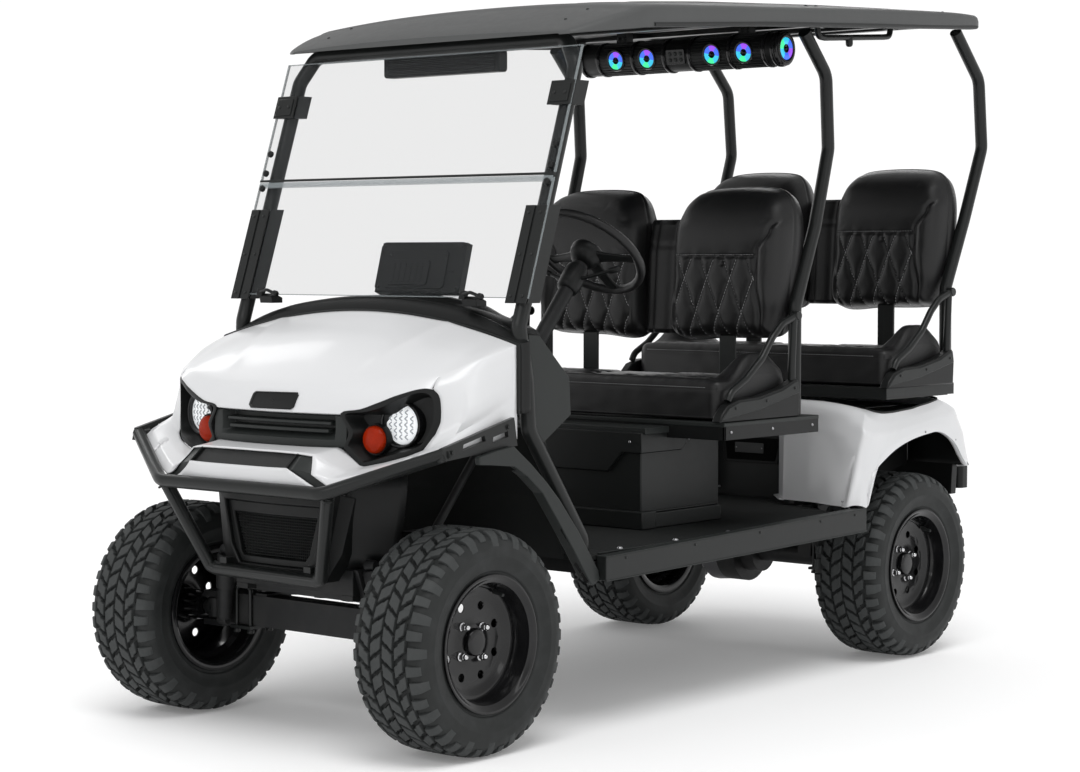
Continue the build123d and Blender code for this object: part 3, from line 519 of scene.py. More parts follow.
def tyre_shape(cx, cy, side, phase):
    S = Shape()
    R0 = 279.2

    def at(q, s, h):
        u, r, nu, nr = crown(q)
        u, r = u + nu * h, r + nr * h
        a = s / R0 + phase
        return (cx + side * u, cy + r * math.sin(a), AXLE_Z - r * math.cos(a))

    def block(qs, lo, hi, depth, ends=(1.6, 1.6)):
        """qs: stations along the crown line; lo, hi: the two edges as s over q."""
        rings = []
        n = len(qs)
        q0, q1 = qs[0], qs[-1]
        sg = 1 if q1 > q0 else -1
        st = [(q0, -depth - 1.5)] + [(q0 + sg * 0.0, -1.3), (q0 + sg * ends[0], 0.0)] + [(q, 0.0) for q in qs[1:-1]] + [(q1 - sg * ends[1], 0.0), (q1, -1.3), (q1, -depth - 1.5)]
        for q, top in st:
            a, b = lo(q), hi(q)
            e = 1.3 if top > -1 else 0.0
            base = -depth - 1.5
            rings.append([at(q, a - 0.9, base), at(q, a, min(top, -1.3)), at(q, a + 1.3, top), at(q, b - 1.3, top), at(q, b, min(top, -1.3)), at(q, b + 0.9, base)])
        S.rings(rings, 1)

    PITCH = 20
    P = 2 * math.pi * R0 / PITCH
    depth = 11.0
    for k in range(PITCH):
        s0 = k * P
        for j in range(2):
            # two centre rows of slanted blocks, leaning opposite ways and set half a block apart
            for sg in (1, -1):
                c = s0 + (j + (0.5 if sg > 0 else 0.0)) * P / 2
                lo = lambda q, c=c, sg=sg: c + 0.80 * (abs(q) - 20) - (15.0 if abs(q) < 17 else 18.0)
                hi = lambda q, c=c, sg=sg: c + 0.80 * (abs(q) - 20) + (16.5 if abs(q) < 17 else 14.0)
                block([sg * 3.5, sg * 10, sg * 16.9, sg * 17.1, sg * 26, sg * 34.5], lo, hi, depth, (1.2, 1.2))
        for sg in (1, -1):
            for j in range(2):
                c = s0 + (j + (0.25 if sg > 0 else 0.75)) * P / 2
                wob = 3.0 if j else -3.0
                lo = lambda q, c=c, sg=sg: c - 0.62 * (abs(q) - 43) - (12.5 if abs(q) < 55 else 17.0)
                hi = lambda q, c=c, sg=sg: c - 0.62 * (abs(q) - 43) + (16.0 if abs(q) < 55 else 12.5)
                block([sg * 43, sg * 49, sg * 54.9, sg * 55.1, sg * 63, sg * (71 + wob)], lo, hi, depth, (1.2, 1.2))
                # shoulder lugs, long and short in turn
                end = 137 if j else 118
                cc = c - 0.62 * 40 + P / 4
                lo = lambda q, c=cc, w=j: c - (15.5 if w else 12.5) + (abs(q) - 80) * 0.04
                hi = lambda q, c=cc, w=j: c + (14.5 if w else 12.5) - (abs(q) - 80) * 0.04
                block([sg * (80 + wob), sg * 88, sg * 96, sg * 104, sg * 112, sg * end], lo, hi, depth - 1.0, (1.6, 5.0))
    # carcass: closed section, bead to bead
    half = [(93.5, 153.5), (97.0, 158), (98.8, 168), (100.0, 176), (103.5, 179), (104.5, 182), (104.0, 185), (108.5, 196), (112.6, 210), (114.2, 213), (114.4, 216), (113.6, 219), (114.6, 230),
            (112.0, 243), (108.0, 252), (100.5, 260.5), (91.0, 264.6), (78.0, 266.6), (50.0, 267.4), (20.0, 267.6)]
    ur = half + [(-u, r) for u, r in reversed(half)]
    ur += [(-84, 155), (-84, 160), (84, 160), (84, 155)]
    S.ring_of((cx, cy, AXLE_Z), (side, 0, 0), ur, n=120)
    return S


WHEELS = (("front_left", 1, 0.0, 0.10), ("front_right", -1, 0.0, 0.55), ("rear_left", 1, WHEELBASE, 0.31), ("rear_right", -1, WHEELBASE, 0.83))
for nm, side, y, ph in WHEELS:
    body = "wheel_" + nm
    cx = side * TRACK
    tyre_shape(cx, y, side, ph).make("tyre_tread_" + nm, [M["rubber"], M["tread"]], body, "tyre_rubber", "tyre_" + nm, smooth=32)
    # rim finish: turned barrel, pressed disc with round windows, lips, hub
    ax = (side, 0, 0)
    c = (cx, y, AXLE_Z)
    R = Shape()
    N = 112
    R.ring_of(c, ax, [(106.0, 169.5), (106.8, 167.0), (106.0, 163.5), (102.6, 158.5), (99.0, 154.0), (97.0, 149.5), (80, 147.2), (66, 146.2), (58, 142.0), (52, 139.5), (47.5, 139.0), (46.0, 141.5), (46.4, 146.5),
                      (92, 149.8), (96.6, 153.2), (98.6, 158.0), (99.0, 168.6), (101.2, 170.0), (104.6, 170.2)], n=N)
    # inboard half of the barrel: drop centre, safety humps and inner lip
    R.ring_of(c, ax, [(47.0, 143.0), (30, 143.5), (12, 141.6), (3, 137.2), (-8, 128.8), (-52, 128.8), (-64, 141.2), (-92, 146.0), (-97.0, 151.5), (-98.6, 158), (-99, 168.6), (-101.5, 170.0), (-104.8, 169.0),
                      (-105.4, 163.0), (-103.6, 152.0), (-99, 146.6), (-92, 142.2), (-64, 137.6), (-52, 125.4), (-8, 125.4), (2, 133.5), (11, 138.0), (30, 140.2), (47.0, 139.8)], n=N)
    # pressed disc, as a polar sheet with eight windows left open
    DISC = [(30, 44.0), (38, 43.6), (44, 41.0), (52, 38.2), (62, 37.2), (70, 37.0), (79, 37.2), (86, 37.4), (92, 37.6), (98, 37.8), (105, 38.4), (114, 41.0), (122, 44.6), (129, 48.4), (134, 50.8), (139.6, 51.0)]
    hole_r, hole_c = 11.0, 92.0

    def disc_u(r):
        for (r0, u0), (r1, u1) in zip(DISC, DISC[1:]):
            if r <= r1:
                return lerp(u0, u1, (r - r0) / (r1 - r0))
        return DISC[-1][1]

    def pt(r, a, back=0.0):
        return (cx + side * (disc_u(r) - back), y + r * math.sin(a), AXLE_Z + r * math.cos(a))

    for back, fl in ((0.0, False), (3.4, True)):
        for ra, rb in ((30, 74), (110, 139.6)):
            rr = [r for r, _ in DISC if ra < r < rb]
            rr = [ra] + rr + [rb]
            R.grid([[pt(r, 2 * math.pi * k / 128, back) for k in range(128)] for r in rr], close_u=True)
        # one sector per window: the square cell between r 74 and r 110 has a round hole
        for h in range(8):
            a0 = 2 * math.pi * (h + 0.5) / 8
            outer, inner = [], []
            m = 32
            for k in range(m):
                t = 2 * math.pi * k / m
                inner.append(pt(hole_c + hole_r * math.cos(t), a0 + hole_r * math.sin(t) / hole_c, back))
                x, z = math.cos(t), math.sin(t)
                q = max(abs(x), abs(z))
                outer.append(pt(hole_c + 18 * x / q, a0 + math.pi / 8 * z / q, back))
            R.grid([outer, inner], close_u=True)
    for h in range(8):
        a0 = 2 * math.pi * (h + 0.5) / 8
        m = 32
        R.grid([[pt(hole_c + hole_r * math.cos(2 * math.pi * k / m), a0 + hole_r * math.sin(2 * math.pi * k / m) / hole_c, b) for k in range(m)] for b in (0.0, 3.4)], close_u=True)
    # hub tube, domed cap with a square shoulder, valve stem
    R.turned((cx + side * 22, y, AXLE_Z), ax, [(0, 36), (20, 36), (21, 34.6), (34, 34.0), (37, 32.6), (39.0, 29.5), (40.0, 20), (40.4, 8)], 40)
    R.turned((cx - side * 52, y, AXLE_Z), ax, [(0, 38), (76, 42), (84, 42)], 40)
    R.make("rim_finish_" + nm, M["rim"], body, "rim_gloss", smooth=34, weld=0.05)
    dress("rim_" + nm, "rim")
    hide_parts("rim_" + nm)
    if y > 0:
        D2 = Shape()
        D2.ring_of(c, ax, [(-86, 78), (-86, 86), (-24, 86), (-20, 84), (-12, 80), (-12, 36), (-20, 36)], n=64)
        for k in range(10):
            a = 2 * math.pi * k / 10
            D2.cyl((cx - side * 20, y + 70 * math.sin(a), AXLE_Z + 70 * math.cos(a)), (cx - side * 8, y + 70 * math.sin(a), AXLE_Z + 70 * math.cos(a)), 4.5, n=12)
        D2.make("brake_drum_" + nm, M["under"], body, "black_steel", smooth=34)
    NUT = Shape()
    for k in range(4):
        a = math.pi / 4 + k * math.pi / 2 + ph
        p = (cx + side * 38.4, y + 50.8 * math.sin(a), AXLE_Z + 50.8 * math.cos(a))
        NUT.turned(p, ax, [(0, 11.8), (2.2, 11.8), (3.2, 10.4)], 20)
        NUT.turned((p[0] + side * 3, p[1], p[2]), ax, [(0, 9.8), (11, 9.8), (12.5, 8.6)], 6)
        NUT.turned((p[0] + side * 15, p[1], p[2]), ax, [(0, 8.2), (4, 7.4), (7, 5.4), (8.6, 2.4)], 18)
    NUT.make("lug_nuts_" + nm, M["chrome"], body, "rim_gloss", smooth=30, bevel=0.5)
    VS = Shape()
    a = 0.4 + ph
    p = Vector((cx + side * 62, y + 133 * math.sin(a), AXLE_Z + 133 * math.cos(a)))
    q = p + Vector((side * 26, -6 * math.sin(a), -6 * math.cos(a)))
    VS.turned(p, q - p, [(-6, 6.5), (4, 5.4), (18, 3.6), (19, 4.6), (27, 4.4), (28, 3.4)], 16)
    VS.make("valve_stem_" + nm, M["rubber"], body, "tyre_rubber", smooth=34)


# ---- padded seats: even quad shells, sewn seams held, swelled as cloth under pressure -----
def cube_shell(nx, ny, nz):
    """Grid on a cube's surface: integer points and quads facing outward."""
    idx, pts, quads = {}, [], []

    def at(i, j, k):
        key = (i, j, k)
        if key not in idx:
            idx[key] = len(pts)
            pts.append((i / nx, j / ny, k / nz))
        return idx[key]

    for i in range(nx):
        for k in range(nz):
            quads.append((at(i, 0, k), at(i + 1, 0, k), at(i + 1, 0, k + 1), at(i, 0, k + 1)))
            quads.append((at(i, ny, k + 1), at(i + 1, ny, k + 1), at(i + 1, ny, k), at(i, ny, k)))
    for i in range(nx):
        for j in range(ny):
            quads.append((at(i, j, nz), at(i + 1, j, nz), at(i + 1, j + 1, nz), at(i, j + 1, nz)))
            quads.append((at(i, j + 1, 0), at(i + 1, j + 1, 0), at(i + 1, j, 0), at(i, j, 0)))
    for j in range(ny):
        for k in range(nz):
            quads.append((at(nx, j, k), at(nx, j + 1, k), at(nx, j + 1, k + 1), at(nx, j, k + 1)))
            quads.append((at(0, j, k + 1), at(0, j + 1, k + 1), at(0, j + 1, k), at(0, j, k)))
    return pts, quads


def swell(pts, quads, held, pressure, cap, frames=20):
    """Runs the shell as pressurised cloth with held points pinned, and returns the new points (mm)."""
    me = bpy.data.meshes.new("swell")
    me.from_pydata([V(*p) for p in pts], [], quads)
    ob = bpy.data.objects.new("swell", me)
    scene.collection.objects.link(ob)
    g = ob.vertex_groups.new(name="held")
    for i, w in enumerate(held):
        if w > 0:
            g.add([i], min(1.0, w), "REPLACE")
    c = ob.modifiers.new("cloth", "CLOTH")
    st = c.settings
    st.quality = 5
    st.mass = 0.25
    st.tension_stiffness = st.compression_stiffness = 12
    st.shear_stiffness = 6
    st.bending_stiffness = 0.4
    st.use_pressure = True
    st.uniform_pressure_force = pressure
    st.effector_weights.gravity = 0
    st.vertex_group_mass = "held"
    c.collision_settings.use_collision = False
    c.point_cache.frame_start, c.point_cache.frame_end = 1, frames
    for f in range(1, frames + 1):
        scene.frame_set(f)
    dg = bpy.context.evaluated_depsgraph_get()
    e = ob.evaluated_get(dg).to_mesh()
    out = []
    for p, v in zip(pts, e.vertices):
        q = Vector((v.co.x * 1000, v.co.y * 1000 + SHIFT, v.co.z * 1000))
        d = q - Vector(p)
        if d.length > cap:
            d *= cap / d.length
        out.append(Vector(p) + d)
    ob.evaluated_get(dg).to_mesh_clear()
    bpy.data.objects.remove(ob)
    bpy.data.meshes.remove(me)
    scene.frame_set(1)
    return out


def relax(pts, quads, keep, rounds=2, k=0.35):
    near = [set() for _ in pts]
    for q in quads:
        for a, b in zip(q, q[1:] + q[:1]):
            near[a].add(b)
            near[b].add(a)
    for _ in range(rounds):
        new = []
        for i, p in enumerate(pts):
            m = Vector((0, 0, 0))
            for j in near[i]:
                m += pts[j]
            m /= len(near[i])
            new.append(p.lerp(m, k * (1 - keep[i])))
        pts = new
    return pts


def threads(shape, bvh, line, ray, width=1.9, dash=6.0, gap=3.2, lift=0.7):
    """Stitches along a line of points, laid on the padded surface met along ray."""
    pts = [Vector(p) for p in line]
    lens = [0.0]
    for a, b in zip(pts, pts[1:]):
        lens.append(lens[-1] + (b - a).length)

    def along(s):
        i = 0
        while i < len(lens) - 2 and s > lens[i + 1]:
            i += 1
        t = (s - lens[i]) / max(1e-6, lens[i + 1] - lens[i])
        return pts[i].lerp(pts[i + 1], min(1.0, t))

    ray = Vector(ray).normalized()
    s = 0.0
    while s + dash < lens[-1]:
        hits = []
        for f in (0.0, 0.5, 1.0):
            h = bvh.ray_cast(along(s + dash * f) - ray * 200, ray, 600)
            if h[0] is None:
                break
            hits.append((h[0], h[1]))
        s += dash + gap
        if len(hits) < 3:
            continue
        rings = []
        for (p, n), wd in zip(hits, (0.55, 1.0, 0.55)):
            t = (hits[2][0] - hits[0][0]).normalized()
            sd = t.cross(n).normalized()
            up = 0.5 if wd > 0.9 else -0.2
            w = width / 2 * (0.7 + 0.3 * wd)
            rings.append([p - sd * w - n * 0.5, p - sd * w * 0.7 + n * (lift * up + 0.25), p + sd * w * 0.7 + n * (lift * up + 0.25), p + sd * w - n * 0.5])
        shape.rings(rings)


def bvh_of(pts, quads):
    return BVHTree.FromPolygons([Vector(p) for p in pts], quads)


# outline of one back, seen from the front, from its lower inner corner anticlockwise: x, z
BACK_OUT = [(70, 985), (240, 981), (404, 985), (430, 1010), (448, 1080), (460, 1180), (462, 1280), (452, 1345), (428, 1388), (380, 1410), (265, 1416), (150, 1410), (108, 1388), (84, 1345), (70, 1290), (68, 1150)]
BACK_CORNERS = (0, 3, 8, 12)      # lower inner, lower outer, upper outer, upper inner


def closed_curve(rows, n):
    """Catmull-Rom samples through closed rows, n per span."""
    out = []
    m = len(rows)
    for i in range(m):
        p0, p1, p2, p3 = (Vector((*rows[(i + k) % m], 0)) for k in (-1, 0, 1, 2))
        for k in range(n):
            t = k / n
            out.append(0.5 * ((2 * p1) + (p2 - p0) * t + (2 * p0 - 5 * p1 + 4 * p2 - p3) * t * t + (3 * p1 - p0 - 3 * p2 + p3) * t ** 3))
    return out


def side_walks():
    fine = closed_curve(BACK_OUT, 12)
    cuts = [c * 12 for c in BACK_CORNERS] + [len(fine)]
    sides = []
    for a, b in zip(cuts, cuts[1:]):
        seg = [fine[i % len(fine)] for i in range(a, b + 1)]
        lens = [0.0]
        for p, q in zip(seg, seg[1:]):
            lens.append(lens[-1] + (q - p).length)
        sides.append((seg, lens))
    return sides


SIDES = side_walks()


def on_side(k, t):
    seg, lens = SIDES[k]
    s = t * lens[-1]
    i = 0
    while i < len(lens) - 2 and s > lens[i + 1]:
        i += 1
    return seg[i].lerp(seg[i + 1], (s - lens[i]) / max(1e-9, lens[i + 1] - lens[i]))


def outline_point(a, c):
    """Square perimeter (-1..1) to the back's outline."""
    if abs(c) >= abs(a):
        return on_side(0, (a + 1) / 2) if c < 0 else on_side(2, (1 - a) / 2)
    return on_side(1, (c + 1) / 2) if a > 0 else on_side(3, (1 - c) / 2)


def crease_x(z):
    rows = [(960, 384), (1050, 394), (1140, 378), (1229, 380), (1290, 420), (1335, 452), (1420, 470)]
    for (z0, x0), (z1, x1) in zip(rows, rows[1:]):
        if z <= z1:
            return lerp(x0, x1, smoothstep(z0, z1, z) if z > z0 else 0)
    return rows[-1][1]


def row_at(rows, z):
    if z <= rows[0][0]:
        return rows[0][1]
    for (z0, y0), (z1, y1) in zip(rows, rows[1:]):
        if z <= z1:
            return lerp(y0, y1, (z - z0) / (z1 - z0))
    return rows[-1][1]


FRONT_Y = [(985, 1392), (1080, 1388), (1180, 1388), (1240, 1391), (1300, 1399), (1360, 1416), (1415, 1442)]
REAR_Y = [(985, 1506), (1200, 1529), (1415, 1544)]
SEAM_Z, PANEL_X0 = 1216.0, 86.0


def diamond(x, z):
    """Distance to the nearest diamond line, in millimetres."""
    X, Z = (x - 124) / 82.0, (z - 1152) / 200.0
    f = lambda t: abs(t - round(t)) / 0.01318
    return min(f(X + Z), f(X - Z))


def back_field(x, z):
    """How far the sewn front stands out (+) or in (-), and how firmly it is held."""
    d, hold = 0.0, 0.0
    cx = crease_x(z)
    inside = smoothstep(PANEL_X0 - 6, PANEL_X0 + 4, x) * (1 - smoothstep(cx - 10, cx - 2, x))
    low = 1 - smoothstep(SEAM_Z - 4, SEAM_Z + 1, z)
    # bolsters
    d += 15 * smoothstep(cx, cx + 34, x) * (1 - smoothstep(1290, 1370, z))
    d += 7 * (1 - smoothstep(72, PANEL_X0, x)) * (1 - smoothstep(1240, 1330, z))
    g = math.exp(-((x - cx) / 7.5) ** 2) * (1 - smoothstep(1325, 1375, z))
    d -= 8.5 * g
    hold = max(hold, g if z < 1330 else 0)
    g = math.exp(-((x - PANEL_X0) / 6.0) ** 2) * low
    d -= 5.0 * g
    hold = max(hold, g)
    # secondary fold on the bolster
    fx = cx + 30 + 6 * math.sin(z / 60.0)
    d -= 3.5 * math.exp(-((x - fx) / 6.0) ** 2) * smoothstep(1000, 1080, z) * (1 - smoothstep(1230, 1300, z))
    # cross seam and diamonds
    g = math.exp(-((z - SEAM_Z) / 4.5) ** 2) * inside
    d -= 7.0 * g
    hold = max(hold, g)
    dd = diamond(x, z)
    g = math.exp(-(dd / 4.2) ** 2) * inside * low
    d -= 5.2 * g
    hold = max(hold, g)
    d += 3.4 * min(1.0, dd / 22.0) * inside * low
    # headrest fullness, puckers by the seams
    d += 9.0 * smoothstep(SEAM_Z + 3, SEAM_Z + 55, z) * (1 - smoothstep(1340, 1415, z)) * (1 - abs((x - 262) / 210.0) ** 2.2 if abs(x - 262) < 210 else 0)
    puck = noise.noise(Vector((x / 9.0, z / 15.0, 3.1)))
    d += 1.5 * puck * math.exp(-(dd / 12.0) ** 2) * inside * low
    d += 2.2 * noise.noise(Vector((x / 28.0, z / 70.0, 9.0))) * math.exp(-((z - SEAM_Z) / 26.0) ** 2) * inside
    return d, min(1.0, hold)


def make_back():
    nx, ny, nz = 88, 14, 92
    raw, quads = cube_shell(nx, ny, nz)
    mid = Vector((262, 1195, 0))
    pts, held, seam_amount = [], [], []
    for a, b, c in raw:
        A, C = 2 * a - 1, 2 * c - 1
        q = max(abs(A), abs(C))
        o = outline_point(A / q, C / q) if q > 1e-9 else mid
        p = mid + (o - mid) * q
        x, z = p.x, p.y
        yf, yb = row_at(FRONT_Y, z), row_at(REAR_Y, z)
        edge = (o - mid).length * (1 - q)
        rf = 46.0
        t = min(1.0, edge / rf)
        drop_f = 52.0 * (1 - math.sqrt(max(0.0, 1 - (1 - t) ** 2)))
        tb = min(1.0, edge / 24.0)
        drop_b = 26.0 * (1 - math.sqrt(max(0.0, 1 - (1 - tb) ** 2)))
        h = 0.0
        if b == 0:
            d, h = back_field(x, z)
            fade = min(1.0, 0.25 + t)
            y = yf + drop_f - d * fade
        elif b == 1:
            y = yb - drop_b
            h = 1.0
        else:
            y0, y1 = yf + 52.0, yb - 26.0
            y = lerp(y0, y1, b)
            out = (o - mid).normalized()
            bulge = 5.0 * math.sin(math.pi * b)
            # piping seam round the side
            bulge -= 3.0 * math.exp(-((b - 0.30) / 0.07) ** 2)
            x, z = x + out.x * bulge, z + out.y * bulge
            h = 0.15 + 0.6 * math.exp(-((b - 0.30) / 0.08) ** 2)
        pts.append(Vector((x, y, z)))
        held.append(h)
    keep = [min(1.0, h * 1.2) for h in held]
    pts = relax(pts, quads, keep, 1, 0.5)
    pts = swell(pts, quads, held, 3.2, 9.0)
    pts = relax(pts, quads, keep, 1, 0.3)
    return pts, quads


def shell_box(lo, hi, n, radii):
    """Rounded box shell: radii for plan corners and for top and bottom edges."""
    raw, quads = cube_shell(*n)
    rp, rt, rb = radii
    out = []
    for a, b, c in raw:
        # grid lines crowd towards the edges
        s = lambda t: t + 0.06 * math.sin(2 * math.pi * t) * -1
        p = [lerp(lo[i], hi[i], s(t)) for i, t in enumerate((a, b, c))]
        ix, iy = min(max(p[0], lo[0] + rp), hi[0] - rp), min(max(p[1], lo[1] + rp), hi[1] - rp)
        dx, dy = p[0] - ix, p[1] - iy
        m = math.hypot(dx, dy)
        if m > 1e-9:
            k = max(abs(dx), abs(dy)) / m
            dx, dy = dx * k, dy * k
            m *= k
        # vertical rounding shrinks the plan section
        z = p[2]
        r = rt if z > (lo[2] + hi[2]) / 2 else rb
        top = hi[2] - rt
        bot = lo[2] + rb
        x, y = ix + dx, iy + dy
        cxm = min(x - lo[0], hi[0] - x, y - lo[1], hi[1] - y)
        # distance in from the wall in plan
        wall = min(rp - m if m > 0 else rp + min(ix - lo[0] - rp, hi[0] - rp - ix, iy - lo[1] - rp, hi[1] - rp - iy), cxm if m == 0 else rp - m)
        if c in (0.0, 1.0):
            rr = rt if c == 1.0 else rb
            if wall < rr:
                dz = rr - math.sqrt(max(0.0, rr * rr - (rr - wall) ** 2))
                z = z - dz if c == 1.0 else z + dz
        elif z > top or z < bot:
            z = min(max(z, bot), top)
        out.append(Vector((x, y, z)))
    return out, quads


def seat_lines(sx):
    """Sewn lines on one place of a bench cushion: centre x = 235 sx."""
    lines = []
    cx = 235.0 * sx
    w = 128.0
    # horseshoe round the sitting panel
    u = [(cx - w, 1400), (cx - w, 1200)]
    for k in range(13):
        t = math.pi * k / 12
        u.append((cx - w * math.cos(t), 1190 - 62 * math.sin(t)))
    u += [(cx + w, 1200), (cx + w, 1400)]
    lines.append(u)
    for k in range(4):
        y0 = 1186 + 52 * k
        lines.append([(cx + s * w / 8, y0 + 16 * (1 - (s / 8) ** 2) * -1) for s in range(-8, 9)])
    return lines


def seg_dist(p, line):
    best = 1e9
    for (x0, y0), (x1, y1) in zip(line, line[1:]):
        dx, dy = x1 - x0, y1 - y0
        t = ((p[0] - x0) * dx + (p[1] - y0) * dy) / (dx * dx + dy * dy)
        t = min(1, max(0, t))
        best = min(best, math.hypot(p[0] - x0 - t * dx, p[1] - y0 - t * dy))
    return best


def make_cushion():
    lo, hi = (-479, 1076, 762), (479, 1416, 868)
    pts, quads = shell_box(lo, hi, (150, 54, 16), (34, 24, 8))
    lines = seat_lines(1)
    out, held = [], []
    for p in pts:
        x, y, z = p
        top = smoothstep(836, 864, z)
        ax = abs(x)
        h = 0.0
        dz = 0.0
        # side bolster that rises by the hip restraint
        bx = smoothstep(372, 432, ax) * (1 - 0.30 * smoothstep(448, 479, ax))
        by = smoothstep(1128, 1270, y) * (1 - 0.65 * smoothstep(1325, 1416, y))
        dz += 72 * bx * by * smoothstep(800, 862, z)
        # crown along the front edge and between seams
        dz += 6.0 * smoothstep(1076, 1110, y) * (1 - smoothstep(1128, 1170, y)) * top * (1 - smoothstep(400, 470, ax))
        if top > 0.02:
            q = (ax, y)
            if abs(ax - 235) < 150:
                d = min(seg_dist(q, l) for l in lines)
            else:
                d = 99.0
            g = math.exp(-(d / 5.0) ** 2) * top
            dz -= 7.5 * g
            dz += 5.0 * min(1.0, d / 20.0) * top * (1 if abs(ax - 235) < 128 and y > 1130 else 0.4)
            h = max(h, g)
            d2 = abs(ax - 376)
            if y > 1120:
                g = math.exp(-(d2 / 6.0) ** 2) * top * smoothstep(1120, 1150, y)
                dz -= 6.0 * g
                h = max(h, g)
            dz += 1.3 * noise.noise(Vector((x / 16.0, y / 22.0, 1.0))) * top
        # seam under the front edge, and slack folds in the front face
        if y < 1084:
            g = math.exp(-((z - 846) / 4.0) ** 2)
            p = p + Vector((0, 3.0 * g, 0))
            h = max(h, g)
            p = p + Vector((0, 1.6 * noise.noise(Vector((x / 60.0, 0, z / 24.0))), 0))
        if ax > 471:
            g = math.exp(-((z - 846) / 4.0) ** 2)
            h = max(h, 0.8 * g)
        if z < 775:
            h = 1.0
        out.append(Vector((p.x, p.y, p.z + dz)))
        held.append(min(1.0, h))
    out = swell(out, quads, held, 2.6, 8.0)
    out = relax(out, quads, held, 1, 0.35)
    # stays over its base and behind the front line
    out = [Vector((min(482, max(-482, p.x)), min(1419, max(1072, p.y)), max(762.4, p.z))) for p in out]
    return out, quads


def make_pad():
    pts, quads = shell_box((-66, 1442, 985), (66, 1512, 1326), (22, 12, 54), (16, 16, 14))
    out, held = [], []
    for p in pts:
        x, y, z = p
        lean = row_at([(985, 0), (1200, 14), (1330, 22)], z)
        front = 1 if y < 1460 else 0
        d = 0.0
        h = 0.0
        if front:
            for sx in (-30, 30):
                g = math.exp(-((x - sx) / 5.0) ** 2)
                d -= 5.0 * g
                h = max(h, g)
            g = math.exp(-((z - 1248) / 5.0) ** 2)
            d -= 5.0 * g
            h = max(h, g)
            d += 9 * (1 - (x / 66.0) ** 2)
            d += smoothstep(1230, 1330, z) * -16
        else:
            h = 1.0
        out.append(Vector((x, y + lean - d, z)))
        held.append(h)
    out = swell(out, quads, held, 2.5, 5.0)
    return relax(out, quads, held, 1, 0.35), quads


back_pts, back_quads = make_back()
cush_pts, cush_quads = make_cushion()
pad_pts, pad_quads = make_pad()

TH_B, TH_C = Shape(), Shape()
bvh = bvh_of(back_pts, back_quads)
# diamond lines clipped to the panel
for sgn in (1, -1):
    for n in range(-3, 9):
        # X + sgn*Z = n
        line = []
        z = 962.0
        while z <= SEAM_Z - 1:
            x = 124 + 82 * (n - sgn * (z - 1152) / 200.0)
            if PANEL_X0 + 2 < x < crease_x(z) - 5:
                line.append((x, 1200, z))
            elif line:
                if len(line) > 2:
                    threads(TH_B, bvh, line, (0, 1, 0))
                line = []
            z += 3.0
        if len(line) > 2:
            threads(TH_B, bvh, line, (0, 1, 0))
threads(TH_B, bvh, [(PANEL_X0 + 2, 1200, SEAM_Z + 5), (crease_x(SEAM_Z) - 6, 1200, SEAM_Z + 5)], (0, 1, 0), width=1.2)
bvh_c = bvh_of(cush_pts, cush_quads)
for line in seat_lines(1):
    threads(TH_C, bvh_c, [(x, y, 1100) for x, y in line], (0, 0, -1), width=1.5)
TH_C.mirror()
fl = Shape()
x = -440.0
threads(fl, bvh_c, [(-440, 900, 851), (440, 900, 851)], (0, 1, 0), width=1.2)

BENCH = (("front", 0.0, 0.0, 0.0), ("rear", 866.0, 60.0, 75.0))
for nm, dy, dz, bz in BENCH:
    first = None
    for side, sx in (("left", 1), ("right", -1)):
        S = Shape()
        qs = back_quads if sx > 0 else [tuple(reversed(q)) for q in back_quads]
        S.add([(p.x * sx, p.y + dy, p.z + bz) for p in back_pts], qs)
        ob = S.make(f"{nm}_back_{side}", M["vinyl"], "chassis", "seat_vinyl", smooth=180, fix=False)
        if sx > 0:
            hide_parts(f"{nm}_seat_backs")
        T = Shape()
        T.v = [(x * sx, y + dy, z + bz) for x, y, z in TH_B.v]
        T.f = TH_B.f if sx > 0 else [tuple(reversed(q)) for q in TH_B.f]
        T.m = TH_B.m
        T.make(f"{nm}_back_stitching_{side}", M["thread"], "chassis", "seat_vinyl", smooth=60)
    S = Shape()
    S.add([(p.x, p.y + dy, p.z + bz) for p in pad_pts], pad_quads)
    ob = S.make(f"{nm}_centre_pad", M["vinyl"], "chassis", "seat_vinyl", smooth=180, fix=False)
    body = "front_seat_lid" if nm == "front" else "chassis"
    S = Shape()
    S.add([(p.x, p.y + dy, p.z + dz) for p in cush_pts], cush_quads)
    ob = S.make(f"{nm}_bench_cushion", M["vinyl"], body, "seat_vinyl", f"{nm}_seat_cushion", smooth=180, fix=False)
    for tag, src in (("top", TH_C), ("edge", fl)):
        src.moved(0, dy, dz).make(f"{nm}_cushion_stitching_{tag}", M["thread"], body, "seat_vinyl", smooth=60)
    # plastic shell that closes each back from behind, with its fixing screws
    for side, sx in (("left", 1), ("right", -1)):
        S = Shape()
        rows = []
        for q in (0.0, 0.35, 0.7, 0.86, 0.94):
            ring = []
            for k in range(64):
                t = k / 64 * 4
                s, f = int(t), t - int(t)
                A, C = ((-1 + 2 * f, -1), (1, -1 + 2 * f), (1 - 2 * f, 1), (-1, 1 - 2 * f))[s]
                o = outline_point(A, C)
                x, z = lerp(262, o.x, max(q, 0.001)), lerp(1195, o.y, max(q, 0.001))
                y = row_at(REAR_Y, z) + (5.0 if q < 0.8 else 4.0 if q < 0.9 else -6.0)
                ring.append((x * sx, y + dy, z + bz))
            rows.append(ring)
        S.grid(rows, close_u=True)
        for x, z in ((140, 1040), (385, 1040), (140, 1330), (385, 1330)):
            S.dome_bolt((x * sx, row_at(REAR_Y, z) + 4.5 + dy, z + bz), (0, 1, 0), 7)
        S.make(f"{nm}_back_shell_{side}", M["black"], "chassis", "black_plastic", smooth=40, weld=0.5)


